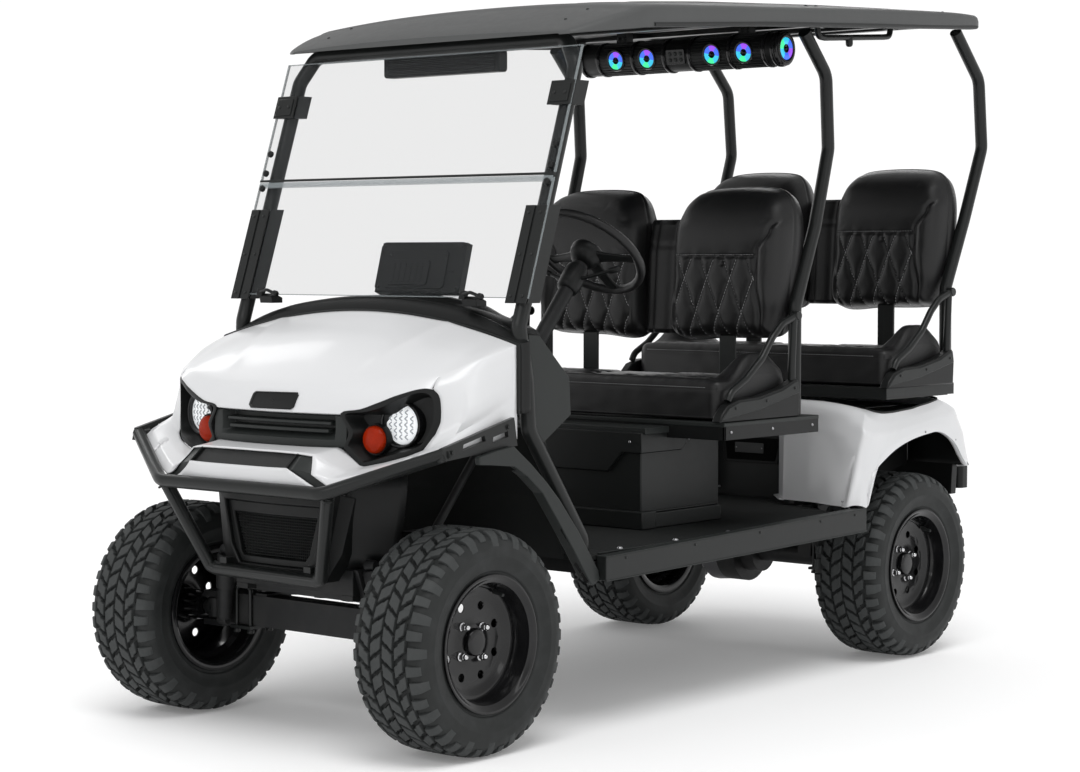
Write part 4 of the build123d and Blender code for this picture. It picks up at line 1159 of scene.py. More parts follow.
# ---- finishes for the CAD pieces that stay --------------------------------------------
for node, key, bev in (("frame", "under", 2.0), ("front_axle_beam", "under", 1.5), ("knuckle_left", "under", 1.0), ("knuckle_right", "under", 1.0),
                       ("tie_rod", "steel", 0.0), ("rear_axle", "under", 1.5), ("leaf_springs", "under", 0.8),
                       ("floor_pan", "mat", 2.0), ("rocker_panels", "pedestal", 2.5), ("front_seat_base", "pedestal", 4.0), ("battery_pack", "battery", 3.0),
                       ("rear_seat_base", "pedestal", 3.0), ("rear_body", "white", 0.0), ("rear_bumper", "black", 2.0),
                       ("roof_posts", "steel", 0.0), ("front_struts", "steel", 1.2), ("windshield", "glass", 0.0), ("roof", "roof", 3.0),
                       ("sound_bar", "black", 2.0), ("rear_view_mirror", "black", 1.5), ("leg_shields", "grey", 2.0), ("steering_column", "under", 1.0),
                       ("dashboard", "black", 2.0), ("pedals", "steel", 1.5), ("display_screen", "black", 1.5)):
    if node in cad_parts:
        dress(node, key, bev)
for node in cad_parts:
    if node.startswith("front_hip") or node.startswith("rear_hip") or "hip_restraint" in node:
        dress(node, "steel", 2.0)


# ---- front cowl: white hood, side panels, chin, cowl-top trim ------------------------------
# nose in plan at the lip: x, y
NOSE = [(0, -163), (60, -162), (120, -159), (180, -153), (223, -147), (270, -140), (320, -130), (374, -115), (421, -93), (452, -68), (468, -52), (488, -30), (506, 5), (517, 40), (524, 80), (528, 120), (531, 186)]
# where the hood's top folds down: x, y, z
FOLD = [(0, -142, 893), (60, -141.5, 893), (120, -139, 893), (180, -134, 894), (228, -128, 896), (290, -113, 903), (340, -98, 910), (385, -80, 917), (425, -59, 922), (454, -36, 927), (480, 4, 945), (503, 52, 964), (518, 104, 979), (530, 161, 997)]
# lip over grille and lamps: x, z, and the pocket's lower edge
LIP = [(0, 829), (224, 830), (285, 843), (340, 862), (375, 876), (421, 892), (446, 896), (456, 896)]
LOW = [(0, 744), (218, 746), (236, 742), (287, 706), (349, 717), (411, 735), (442, 751), (458, 779)]


def row_of(rows, x):
    """Straight-line reading of a table whose first column rises."""
    if x <= rows[0][0]:
        return rows[0][1]
    for a, b in zip(rows, rows[1:]):
        if x <= b[0]:
            return lerp(a[1], b[1], (x - a[0]) / (b[0] - a[0]))
    return rows[-1][1]


def lip_z(x):
    return row_of(LIP, abs(x))


def low_z(x):
    return row_of(LOW, abs(x))


def nose_y(x):
    return row_of(NOSE, abs(x))


def rear_z(x):
    """Height of the hood's rear edge."""
    return 1075 - 76 * (x / 524.0) ** 2


def smooth_curve(rows, n):
    """Catmull-Rom through open rows."""
    out = []
    for i in range(len(rows) - 1):
        p0, p1, p2, p3 = (Vector(rows[min(max(i + k, 0), len(rows) - 1)]) for k in (-1, 0, 1, 2))
        for k in range(n):
            t = k / n
            out.append(0.5 * ((2 * p1) + (p2 - p0) * t + (2 * p0 - 5 * p1 + 4 * p2 - p3) * t * t + (3 * p1 - p0 - 3 * p2 + p3) * t ** 3))
    out.append(Vector(rows[-1]))
    return out


HOOD_REAR = 161.0
fold = smooth_curve(FOLD, 5)
n_lip = 9 * 5                                   # fold points that stand over grille and lamps
both = [Vector((-p.x, p.y, p.z)) for p in reversed(fold[1:])] + fold


def hood_at(f, s):
    """Point on the hood's top behind fold point f, s = 0 at the fold and 1 at the rear edge."""
    y = lerp(f.y, HOOD_REAR, s)
    ax = abs(f.x)
    z = lerp(f.z, rear_z(f.x), s) + 15 * math.sin(math.pi * s) * (1 - (ax / 531.0) ** 4)
    cx = lerp(226, 292, (y + 110) / 230.0)
    k = smoothstep(-120, -40, y)
    z += 2.5 * math.exp(-((ax - cx) / 17.0) ** 2) * k * (1 - 0.6 * s) + 1.5 * math.exp(-((ax - cx) / 40.0) ** 2) * k
    return (f.x, y, z)


H = Shape()
NS = 34
H.grid([[hood_at(f, j / NS) for f in both] for j in range(NS + 1)])
# front face, from the fold to the lip
n_all = len(fold)
front = both[n_all - 1 - n_lip:n_all + n_lip]
rows = []
for j in range(11):
    t = j / 10
    rows.append([(lerp(f.x, f.x, t), lerp(f.y, min(f.y - 4, nose_y(f.x)), t) - 5 * math.sin(math.pi * t) * (1 - abs(f.x) / 600.0), lerp(f.z, lip_z(f.x), t)) for f in front])
H.grid(rows)
lip_row = [Vector(q) for q in rows[-1]]
H.grid([[tuple(q) for q in lip_row], [(q.x, q.y + 3, q.z - 2.5) for q in lip_row], [(q.x, q.y + 13, q.z - 1.5) for q in lip_row]])
# chin sections: x, then (y, z) at the wall, the ledge's nose, the step's foot and behind the guard bar
CHIN = [(0, (-150, 745), (-244, 738), (-288, 701), (-274, 652)),
        (100, (-149, 745), (-244, 738), (-288, 701), (-274, 652)),
        (174, (-147, 746), (-243, 737), (-286, 702), (-272, 653)),
        (216, (-144, 747), (-236, 733), (-273, 698), (-268, 654)),
        (250, (-138, 730), (-222, 712), (-262, 688), (-264, 656)),
        (287, (-132, 703), (-190, 694), (-240, 679), (-260, 658)),
        (349, (-126, 715), (-168, 706), (-205, 692), (-226, 670)),
        (411, (-104, 733), (-138, 723), (-170, 710), (-190, 692)),
        (442, (-84, 748), (-118, 736), (-150, 722), (-172, 704))]


def chin_at(x, s):
    ax = abs(x)
    k = min(int(s), 2)
    for a, b in zip(CHIN, CHIN[1:]):
        if ax <= b[0] or b is CHIN[-1]:
            t = min(1.0, (ax - a[0]) / (b[0] - a[0]))
            p = [lerp(a[i + 1][c], b[i + 1][c], t) for i in (k, k + 1) for c in (0, 1)]
            return (x, lerp(p[0], p[2], s - k), lerp(p[1], p[3], s - k))


# column lines bend so the insert's edges are mesh edges: x at s = 0, 1, 2, 3
COLS = [(0, 0, 0, 0), (173, 173, 174, 258), (222, 216, 240, 300), (442, 442, 442, 442)]
CN = (12, 5, 18)
SN = (6, 8, 8)


def chin_x(c, s):
    """x on column line c (0..3) at s."""
    k = min(int(c), 2)
    j = min(int(s), 2)
    a = lerp(COLS[k][j], COLS[k][j + 1], s - j)
    b = lerp(COLS[k + 1][j], COLS[k + 1][j + 1], s - j)
    return lerp(a, b, c - k)


c_list = [k + i / CN[k] for k in range(3) for i in range(CN[k])] + [3.0]
s_list = [k + i / SN[k] for k in range(3) for i in range(SN[k])] + [3.0]
c_both = [-c for c in reversed(c_list[1:])] + c_list
I1 = Shape()
verts = [chin_at(math.copysign(chin_x(abs(c), s), c) if c else 0.0, s) for c in c_both for s in s_list]
deep = [(x, y + 7.0, z - 2.0) for x, y, z in verts]
ns = len(s_list)
white_f, band_f, flank_f, walls = [], [], [], []


def zone(i, j):
    """0 paint, 1 dark band, 2 grey flank; i, j name a chin quad."""
    if not (0 <= i < len(c_both) - 1 and 0 <= j < ns - 1):
        return 0
    c, s = abs((c_both[i] + c_both[i + 1]) / 2), (s_list[j] + s_list[j + 1]) / 2
    if s > 1.0 and 1.0 < c < 2.0:
        return 2
    return 1 if 1.0 < s < 2.0 and c < 1.0 else 0


for i in range(len(c_both) - 1):
    for j in range(ns - 1):
        f = (i * ns + j, i * ns + j + 1, (i + 1) * ns + j + 1, (i + 1) * ns + j)
        zn = zone(i, j)
        (white_f, band_f, flank_f)[zn].append(f)
        if zn:
            for (di, dj), (a, b) in (((-1, 0), (f[0], f[1])), ((0, 1), (f[1], f[2])), ((1, 0), (f[2], f[3])), ((0, -1), (f[3], f[0]))):
                if zone(i + di, j + dj) != zn:
                    walls.append((zn, a, b))
H.add(verts, white_f, 0)
I1.add(deep, band_f, 0)
I1.add(deep, flank_f, 1)
for zn, a, b in walls:
    I1.add([verts[a], verts[b], deep[b], deep[a]], [(0, 1, 2, 3)], zn - 1)
I1.make("chin_insert", [M["black"], M["grey"]], "chassis", "black_plastic", smooth=32, weld=0.3)

# side panels: fold above, guard line below, lamp pocket and chin in front
GUARD = [(442, -172, 704), (500, -144, 722), (541, -122, 735), (545, -60, 742), (543, 0, 748), (539, 60, 756), (535, 110, 762), (531, 161, 766)]
top_line = fold[n_lip:]
front_line = [(454, -36, 927), (456, -56, 910), (457, -64, 897), (467, -53, 872), (468, -52, 842), (467, -53, 814), (459, -62, 784), (442, -84, 748)] + [chin_at(442, s)for s in (0.5, 1.0, 1.5, 2.0, 2.5, 3.0)]


def along(line, t):
    """Place at share t of a line's length."""
    P = [Vector(p) for p in line]
    d = [0.0]
    for a, b in zip(P, P[1:]):
        d.append(d[-1] + (b - a).length)
    want = t * d[-1]
    for k in range(len(P) - 1):
        if want <= d[k + 1] + 1e-9:
            u = (want - d[k]) / max(1e-9, d[k + 1] - d[k])
            return P[k].lerp(P[k + 1], u)
    return P[-1]


def at_index(line, t):
    """Place at share t of a line's list of points, each step counting the same."""
    P = [Vector(p) for p in line]
    x = t * (len(P) - 1)
    k = min(int(x), len(P) - 2)
    return P[k].lerp(P[k + 1], x - k)


NU, NV2 = len(top_line) - 1, 39
T0, T1 = Vector(top_line[0]), Vector(top_line[-1])
B0, B1 = Vector(GUARD[0]), Vector(GUARD[-1])
for sgn in (1, -1):
    rows = []
    for j in range(NV2 + 1):
        v = j / NV2
        Fv = at_index(front_line, v)
        Rv = T1.lerp(B1, v)
        row = []
        for i in range(NU + 1):
            u = i / NU
            Tu, Bu = Vector(top_line[i]), along(GUARD, u ** 0.9 if 0 < u < 1 else u)
            p = Tu * (1 - v) + Bu * v + Fv * (1 - u) + Rv * u - (T0 * ((1 - u) * (1 - v)) + T1 * (u * (1 - v)) + B0 * ((1 - u) * v) + B1 * (u * v))
            p.x += 5 * math.sin(math.pi * v) * math.sin(math.pi * min(1.0, u * 1.2))
            row.append((sgn * p.x, p.y, p.z))
        rows.append(row)
    H.grid(rows, flip=(sgn < 0))


def soften(ob, near, rounds):
    """Relaxes the mesh beside a line, which turns a hard fold into a soft one."""
    bm = bmesh.new()
    bm.from_mesh(ob.data)
    tree = BVHTree.FromPolygons([V(*p) for seg in near for p in seg], [(3 * k, 3 * k + 1, 3 * k + 2) for k in range(len(near))])
    pick = []
    for v in bm.verts:
        if v.is_boundary:
            continue
        hit = tree.find_nearest(v.co, 0.030)
        if hit[0] is not None and hit[3] < 0.028:
            pick.append(v)
    for _ in range(rounds):
        bmesh.ops.smooth_vert(bm, verts=pick, factor=0.5, use_axis_x=True, use_axis_y=True, use_axis_z=True)
    bm.to_mesh(ob.data)
    bm.free()
    ob.data.update()


cowl = H.make("hood_and_nose", M["white"], "chassis", "white_body", "front_cowl", smooth=60, weld=0.6)
fold_strips = [(tuple(a), tuple(b), (b.x, b.y + 0.2, b.z + 0.2)) for a, b in zip(both, both[1:])]
soften(cowl, fold_strips, 7)
finish_mesh(cowl, smooth=50)
sol = cowl.modifiers.new("sheet", "SOLIDIFY")
sol.thickness = 0.0032
sol.offset = -1.0

# cowl-top trim: thin gasket, raised black strip over the arc, then down both sides
arc = [(-531, 828 + (997 - 828) * k / 10, 0) for k in range(10)]
arc += [(x, rear_z(x), 1) for x in [-530 + 1060 * k / 80 for k in range(81)]]
arc += [(531, 997 - (997 - 828) * k / 10, 0) for k in range(1, 11)]
T = Shape()
rows = []
for x, z, up in arc:
    w = smoothstep(985, 1050, z)
    n = Vector((x / 531.0 * (1 - w), 0, 0)) if not up else Vector((x / 531.0 * (1 - w) * 0.9, 0, 1)).normalized()
    n = n.normalized()
    rise = 6 + 26 * w if up else 5
    prof = [(-7, -1), (1.5, -2.0), (3.5, 1), (3.5, 7), (1.0, 9), (1.0, 12), (rise * 0.35 + 2, 14), (rise * 0.8, 26), (rise + 2, 38), (rise + 1, 44), (rise - 8, 46)]
    rows.append([(x + n.x * a, HOOD_REAR + b, z + n.z * a) for a, b in prof])
T.grid(rows)
trim = T.make("cowl_top_trim", M["black"], "chassis", "black_plastic", smooth=36)
sm = trim.modifiers.new("sheet", "SOLIDIFY")
sm.thickness, sm.offset = 0.003, -1.0
T = Shape()
T.sweep([(x, HOOD_REAR + 2, z + 2.0) for x, z, up in arc if up], [(2.4 * math.cos(k * math.pi / 4), 2.4 * math.sin(k * math.pi / 4)) for k in range(8)])
T.make("cowl_gasket", M["grey"], "chassis", "black_plastic", smooth=60)
# deck behind the trim, under the windshield's foot
T = Shape()
rows = []
for j, (y, dz) in enumerate(((198, 0), (214, 6), (236, 8), (262, 4), (290, -6))):
    rows.append([(x, y, rear_z(x) + (6 + 26 * smoothstep(985, 1050, rear_z(x))) + dz * smoothstep(520, 300, abs(x))) for x in [-488 + 976 * k / 48 for k in range(49)]])
T.grid(rows)
dk = T.make("cowl_deck", M["black"], "chassis", "black_plastic", smooth=40)
sm = dk.modifiers.new("sheet", "SOLIDIFY")
sm.thickness, sm.offset = 0.003, -1.0

# ---- black grille band, lamp pockets and their frames ---------------------------------------------
B = Shape()
# band shell between the pockets: a tray with raised frame, deep centre and two louvres

cols = []
XS = [-238 + 476 * i / 56 for i in range(57)]
for x in XS:
    ax = abs(x)
    top, bot = lip_z(x) - 2, 744 + (0 if ax < 218 else 2)
    yo = nose_y(x)
    # recess depth grows inside the trapezoid
    inner = 1 - smoothstep(188, 206, ax)
    dep = 34 * inner
    col = [(x, yo + 16, top), (x, yo + 5, top - 3), (x, yo + 3 + dep, top - 6), (x, yo + 4 + dep * 0.95, 790), (x, yo + 3 + dep * 0.55, 774), (x, yo + 2, 764), (x, yo + 1, 752), (x, yo + 4, bot), (x, yo + 14, bot - 4)]
    cols.append(col)
B.grid(cols)
for z0, z1, xe in ((808, 801, 186), (789, 781, 178)):
    ring0 = []
    for k in range(33):
        x = -xe + 2 * xe * k / 32
        yo = nose_y(x)
        ring0.append([(x, yo + 9, z0), (x, yo + 9, z1), (x, yo + 32, z1 - 3), (x, yo + 32, z0 + 3)])
    B.rings(ring0)
B.make("grille_band", [M["grey"]], "chassis", "black_plastic", "grille_panel", bevel=1.2, smooth=34)

# lamp pocket outline on one side, clockwise from the inner top: x, z
POCKET = [(226, 831), (285, 843), (340, 862), (375, 876), (421, 892), (446, 896), (462, 886), (468, 862), (468, 816), (458, 781), (442, 752), (411, 735), (349, 717), (287, 704), (270, 714), (240, 742), (236, 752), (250, 786)]


def pocket_curve(k, n=4):
    """Pocket outline drawn in towards its middle by k millimetres."""
    mid = Vector((360, 800, 0))
    fine = closed_curve(POCKET, n)
    out = []
    for p in fine:
        d = mid - p
        out.append(p + d.normalized() * min(k, d.length * 0.9))
    return out


for nm, sgn in (("left", 1), ("right", -1)):
    P = Shape()
    fy = lambda x: nose_y(min(abs(x), 530))
    # raised frame, then walls going back to a floor that carries the lamps
    steps = [(-1.0, 8.0), (-1.5, -1.5), (5.0, -3.0), (12.0, -1.5), (15.0, 6.0), (22.0, 30.0), (30.0, 44.0)]
    rows = []
    for k, dy in steps:
        rows.append([(sgn * p.x, fy(p.x) + dy, p.y) for p in pocket_curve(k)])
    P.grid(rows, close_u=True)
    floor_ring = pocket_curve(30.0)
    c = [(sgn * p.x, fy(p.x) + 44, p.y) for p in floor_ring]
    mid = Vector((sgn * 360, fy(360) + 46, 800))
    P.grid([c, [tuple(Vector(q).lerp(mid, 0.5)) for q in c], [tuple(Vector(q).lerp(mid, 0.98)) for q in c]], close_u=True)
    P.make("lamp_pocket_" + nm, M["black"], "chassis", "black_plastic", smooth=40)

    # headlight: bezel ring, domed clear disc, chevron optics
    aim = Vector((sgn * 0.16, -1.0, 0.02)).normalized()
    o = Vector((sgn * 361, -74, 806))
    L1 = Shape()
    L1.ring_of(o, aim, [(-26, 52), (-26, 60), (2, 60), (8, 58.5), (10, 55.5), (8.5, 52.5), (2, 50.8)], n=72)
    L1.turned(o - aim * 26, aim, [(0, 52), (18, 52)], 48)
    L1.make("headlight_ring_" + nm, M["gloss"], "chassis", "black_plastic", smooth=34)
    L2 = Shape()
    prof = [(-6, 50.0)] + [(8.0 * math.cos(t * math.pi / 2 / 8) + 0.0 - 2, 50.0 * math.sin(t * math.pi / 2 / 8)) for t in range(8, 0, -1)] + [(6.0, 0.4)]
    L2.turned(o, aim, prof, 64)
    L2.make("headlight_lens_" + nm, M["lens"], "chassis", "lamp_lens", "headlights" if sgn > 0 else (), smooth=50)
    L3 = Shape()
    u = aim.cross(Vector((0, 0, 1))).normalized()
    w = u.cross(aim).normalized()
    for row in range(-2, 3):
        for i in range(-2, 3):
            cx, cz = i * 15.5, row * 15.0
            if math.hypot(cx, cz) > 38:
                continue
            base_p = o + aim * (6.6 - 0.0022 * (cx * cx + cz * cz)) + u * cx + w * cz
            for a, b in (((-5, 6), (3, 0)), ((3, 0), (-5, -6))):
                A = base_p + u * a[0] + w * a[1]
                Bp = base_p + u * b[0] + w * b[1]
                dirv = (Bp - A).normalized()
                sd = dirv.cross(aim).normalized() * 1.5
                L3.rings([[A - sd - aim * 2, A - sd + aim * 0.9, A + sd + aim * 0.9, A + sd - aim * 2], [Bp - sd - aim * 2, Bp - sd + aim * 0.9, Bp + sd + aim * 0.9, Bp + sd - aim * 2]])
    L3.make("headlight_optics_" + nm, M["chevron"], "chassis", "lamp_lens", smooth=30)

    # round turn signal: dark cup, faceted domed lens
    o2 = Vector((sgn * 300, -104, 768))
    aim2 = Vector((sgn * 0.06, -1.0, 0.0)).normalized()
    S1 = Shape()
    S1.ring_of(o2, aim2, [(-24, 34), (-24, 39), (-2, 39.5), (1, 38.5), (0, 35)], n=56)
    S1.turned(o2 - aim2 * 24, aim2, [(0, 34), (6, 34)], 40)
    S1.make("signal_cup_" + nm, M["black"], "chassis", "black_plastic", smooth=34)
    S2 = Shape()
    prof = [(-8, 34.5), (3, 34.5), (8, 33.5), (12, 30), (15, 23), (16.6, 14), (17.2, 6), (17.3, 0.5)]
    S2.turned(o2, aim2, prof, 18)
    S2.make("signal_lens_" + nm, M["amber"], "chassis", "signal_lens", "signal_lamps" if sgn > 0 else (), smooth=14)
    S3 = Shape()
    for k in range(12):
        a = 2 * math.pi * k / 12
        q = o2 + aim2 * 10 + Vector((math.cos(a) * 20 * 1.0, 0, math.sin(a) * 20))
        S3.cyl(q, q + aim2 * 5, 2.2, 1.2, 8)
    S3.make("signal_flutes_" + nm, M["amber"], "chassis", "signal_lens", smooth=30)

# badge plate: a blank parallelogram on the hood front
BP = Shape()
ring = []
for x, z in ((-79, 834), (64, 835), (74, 841), (83, 870), (76, 878), (-71, 876), (-78, 871), (-87, 842)):
    ring.append((x, z))
def hood_y(x, z):
    """Place on the hood's front face at that height."""
    f = row_of([(p[0], p[1]) for p in FOLD], abs(x))
    fz = row_of([(p[0], p[2]) for p in FOLD], abs(x))
    t = (fz - z) / (fz - lip_z(x))
    return lerp(f, nose_y(x), t) - 5 * math.sin(math.pi * min(1, max(0, t))) * (1 - abs(x) / 600.0)


loop = []
corners = ring
for (xa, za), (xb, zb) in zip(corners, corners[1:] + corners[:1]):
    for k in range(8):
        t = k / 8
        loop.append((lerp(xa, xb, t), lerp(za, zb, t)))
mid = (0.0, 856.0)
rows = []
for k, lift in ((1.0, 1.0), (1.0, -4.0), (0.955, -5.2), (0.90, -5.2), (0.885, -3.6), (0.5, -3.8), (0.02, -3.8)):
    rows.append([(lerp(mid[0], x, k), hood_y(lerp(mid[0], x, k), lerp(mid[1], z, k)) + lift, lerp(mid[1], z, k)) for x, z in loop])
BP.grid(rows, close_u=True)
BP.make("badge_plate", M["black"], "chassis", "black_plastic", smooth=30)

# ---- lower grille with a trapezoid mesh --------------------------------------------------------------
G = Shape()


def bow(x, y):
    """The lower grille bows back towards its sides."""
    return y + 0.00042 * x * x


def gpoly(pts, y0, y1, mat=0):
    a = [(x, bow(x, y0), z) for x, z in pts]
    b = [(x, bow(x, y1), z) for x, z in pts]
    G.rings([a, b], mat)


def frame_ring(outer, inner, yo, yi, mat=0):
    def sub(poly, n=10):
        out = []
        for (xa, za), (xb, zb) in zip(poly, poly[1:] + poly[:1]):
            out += [(lerp(xa, xb, k / n), lerp(za, zb, k / n)) for k in range(n)]
        return out
    o, i = sub(outer), sub(inner)
    rows = [[(x, bow(x, yo + 30), z) for x, z in o], [(x, bow(x, yo + 2), z) for x, z in o], [(lerp(x, x2, 0.08), bow(x, yo), lerp(z, z2, 0.08)) for (x, z), (x2, z2) in zip(o, i)],
            [(lerp(x, x2, 0.9), bow(x2, yo), lerp(z, z2, 0.9)) for (x, z), (x2, z2) in zip(o, i)], [(x, bow(x, yo + 3), z) for x, z in i], [(x, bow(x, yi), z) for x, z in i]]
    G.grid(rows, mat, close_u=True)


frame_ring([(-212, 628), (212, 628), (190, 480), (150, 412), (-150, 412), (-190, 480)], [(-178, 596), (178, 596), (152, 486), (118, 440), (-118, 440), (-152, 486)], -176, -160)
frame_ring([(-178, 596), (178, 596), (152, 486), (118, 440), (-118, 440), (-152, 486)], [(-150, 566), (150, 566), (122, 470), (112, 458), (-112, 458), (-122, 470)], -166, -150)
# backing and woven bars; the backing is a near-black sheet of painted shade behind the mesh
gpoly([(-152, 568), (152, 568), (124, 468), (110, 456), (-110, 456), (-124, 468)], -150, -146, 1)
for k in range(-24, 25):
    x0 = k * 6.2
    zt = 566
    zb = 458 if abs(x0) < 110 else lerp(458, 566, (abs(x0) - 110) / 42.0)
    if zb < zt - 6:
        G.box(x0 - 0.9, x0 + 0.9, bow(x0, -156), bow(x0, -150), zb, zt, 2)
for k in range(15):
    z = 463 + k * 7.2
    xe = lerp(112, 150, (z - 458) / 108.0)
    ring = []
    for i in range(17):
        x = -xe + 2 * xe * i / 16
        ring.append([(x, bow(x, -158), z - 1.0), (x, bow(x, -158), z + 1.0), (x, bow(x, -151), z + 1.0), (x, bow(x, -151), z - 1.0)])
    G.rings(ring, 2)
# side cheeks with a raised leaf
for sgn in (1, -1):
    cheek = [(205, 628), (238, 620), (214, 480), (176, 408), (150, 412), (190, 480)]
    a = [(sgn * x, bow(x, -170 + max(0, x - 190) * 0.7), z) for x, z in cheek]
    b = [(sgn * x, bow(x, -120 + max(0, x - 190) * 0.7), z) for x, z in cheek]
    G.rings([a, b] if sgn > 0 else [list(reversed(a)), list(reversed(b))])
G.make("lower_grille_detail", [M["black"], M["deep_black_and_painted_shade"], M["steel"]], "chassis", "black_plastic", "lower_grille", bevel=1.0, smooth=30)
# closing panels beside the grille, back to the wheel arch
C2 = Shape()
for sgn in (1, -1):
    rows = []
    for t in range(9):
        s = t / 8
        rows.append([(sgn * lerp(216, 330, s), lerp(-120, -20, s), 690), (sgn * lerp(218, 332, s), lerp(-126, -24, s), 640), (sgn * lerp(210, 322, s), lerp(-122, -26, s), 560), (sgn * lerp(196, 300, s), lerp(-112, -26, s), 480), (sgn * lerp(176, 280, s), lerp(-104, -30, s), 440)])
    C2.grid(rows)
ob = C2.make("nose_lower_panels", M["black"], "chassis", "black_plastic", smooth=40)
sm = ob.modifiers.new("sheet", "SOLIDIFY")
sm.thickness, sm.offset = 0.004, 0.0

# ---- guard bar, plates, flares ---------------------------------------------------------------------
dress("brush_guard", "steel", 1.2)
dress("front_fender_flares", "grey", 3.0)
W = Shape()
for sgn in (1, -1):
    # weld beads where the hoop meets the bar, bolts on the side plates
    W.ring_of((sgn * 291, -266, 634), (sgn * 0.40, -0.28, 0.87), [(-3, 17.5), (0, 20.5), (3, 17.5)], n=28)
    W.cyl((sgn * 552, -126, 744), (sgn * 541, -100, 748), 12, 12, 20)
for sgn in (1, -1):
    for y, z in ((-108, 749), (96, 800)):
        W.bolt((sgn * 557, y, z), (sgn, 0, 0), 5.5)
W.make("guard_welds_bolts", M["steel"], "chassis", "black_steel", bevel=0.4, smooth=30)
F = Shape()
# slots along each flare, as flat near-black marks on its face: painted shade where the slot openings are
for sgn in (1, -1):
    for k, (y, z, a) in enumerate(((186, 659, -0.90), (229, 612, -0.88), (257, 580, -0.89), (296, 522, -0.86), (322, 493, -0.86), (352, 429, -0.83), (378, 401, -0.82))):
        d = Vector((0, math.cos(a), math.sin(a)))
        n = Vector((0, -d.z, d.y))
        c = Vector((sgn * 569.0, y, z))
        ring = [c + d * u + n * w for u, w in ((-16, -4), (16, -4), (18, 0), (16, 4), (-16, 4), (-18, 0))]
        F.prism(ring, (sgn * 1.0, 0, 0))
F.make("flare_slots_painted_shade", M["deep_black_and_painted_shade"], "chassis", "black_plastic", smooth=30)


# ---- cabin: dashboard, steering wheel, windshield fittings, tablet, mirror, seat pedestal ---------
LEAN = 195.0 / 580.0


def post_y(z):
    """Centre line of the windshield posts."""
    return 200 + (z - 1030) * LEAN


def leaned(x0, x1, z0, z1, o0, o1):
    """Plate parallel to the windshield: offsets in front (+) of the post centre line."""
    return [(x0, x1), [(post_y(z0) - o1, z0), (post_y(z0) - o0, z0), (post_y(z1) - o0, z1), (post_y(z1) - o1, z1)]]


def add_leaned(S, x0, x1, z0, z1, o0, o1, mat=0):
    (a, b), yz = leaned(x0, x1, z0, z1, o0, o1)
    S.px(yz, a, b, mat)


# sleeves and clamps in front of the panes
sl = Shape()
for x0, x1 in ((466, 496), (504, 534)):
    add_leaned(sl, x0, x1, 1100, 1345, 31, 36)
add_leaned(sl, 490, 510, 1102, 1343, 24, 32)
add_leaned(sl, 462, 537, 1600, 1662, 31, 37)
add_leaned(sl, 470, 529, 1608, 1654, 37, 40)
sl.mirror()
sl.make("windshield_sleeve_plates", M["steel"], bevel=1.6)
scr = Shape()
for z in (1118, 1222, 1327):
    for x in (481, 519):
        scr.dome_bolt((x, post_y(z) - 36, z), (0, -1, LEAN), 4.2)
for x in (482, 517):
    scr.dome_bolt((x, post_y(1631) - 40, 1631), (0, -1, LEAN), 4.6)
scr.mirror()
scr.make("windshield_screws", M["steel"], smooth=50)

# fold joint: dark seal, pale stiffener whose pale tone also paints the highlight streak along the fold, thin line; edge
# strips; hinge pins
fold = Shape()
add_leaned(fold, -532, 532, 1421, 1427.5, 24, 33.5)
fold.make("windshield_fold_seal", M["steel"], bevel=0.8)
# pale semi-clear strip: the fold stiffener, its paleness also a painted highlight along the fold
stiff = Shape()
add_leaned(stiff, -531, 531, 1406, 1420, 30.5, 32.2)
stiff.make("windshield_fold_stiffener_highlight", M["edge"], bevel=0.5)
ed = Shape()
for z0, z1 in ((1112, 1415), (1427.5, 1752)):
    add_leaned(ed, 529.5, 533, z0, z1, 23.4, 31)
ed.mirror()
add_leaned(ed, -531, 531, 1112, 1114.5, 23.4, 31)
add_leaned(ed, -531, 531, 1749.5, 1752.5, 23.4, 31)
add_leaned(ed, -531, 531, 1404, 1405.6, 30.2, 31.6)
ed.make("windshield_edges", M["edge"], bevel=0.4)
pin = Shape()
for z in (1404, 1446, 1500):
    y = post_y(z) - 33
    pin.turned((516, y, z), (0, -1, LEAN), [(-4, 9), (3, 9), (5, 7.5), (6.5, 3)], 18)
pin.mirror()
pin.make("windshield_hinge_pins", M["black"], smooth=50)
# latches that hold the glass foot: body, cam lever, knob
clip = Shape()
for cx in (-385, 355):
    y = post_y(1112)
    clip.px([(y - 46, 1090), (y - 8, 1090), (y - 8, 1104), (y - 22, 1110), (y - 40, 1116), (y - 50, 1108)], cx - 24, cx + 24)
    clip.px([(y - 52, 1108), (y - 36, 1112), (y - 34, 1128), (y - 44, 1130)], cx - 34, cx - 14)
    clip.tube([(cx - 24, y - 44, 1120), (cx + 6, y - 50, 1126), (cx + 34, y - 52, 1118)], 4.6, 16, 10)
    clip.turned((cx + 34, y - 52, 1118), (1, 0, -0.25), [(-2, 5), (2, 8), (12, 8.5), (16, 6)], 16)
clip.make("windshield_latches", M["black"], bevel=1.2, smooth=45)

# ---- dashboard: arched shell with an instrument hump, fascia with pockets ------------------------
def dash_top(x):
    return 1104 - 76 * (x / 524.0) ** 2


def hump(x):
    return 18 * smoothstep(-60, 30, x) * (1 - smoothstep(290, 380, x))


DASH_W = 474
dash_rows = []
xs = [-DASH_W + 2 * DASH_W * k / 48 for k in range(49)]
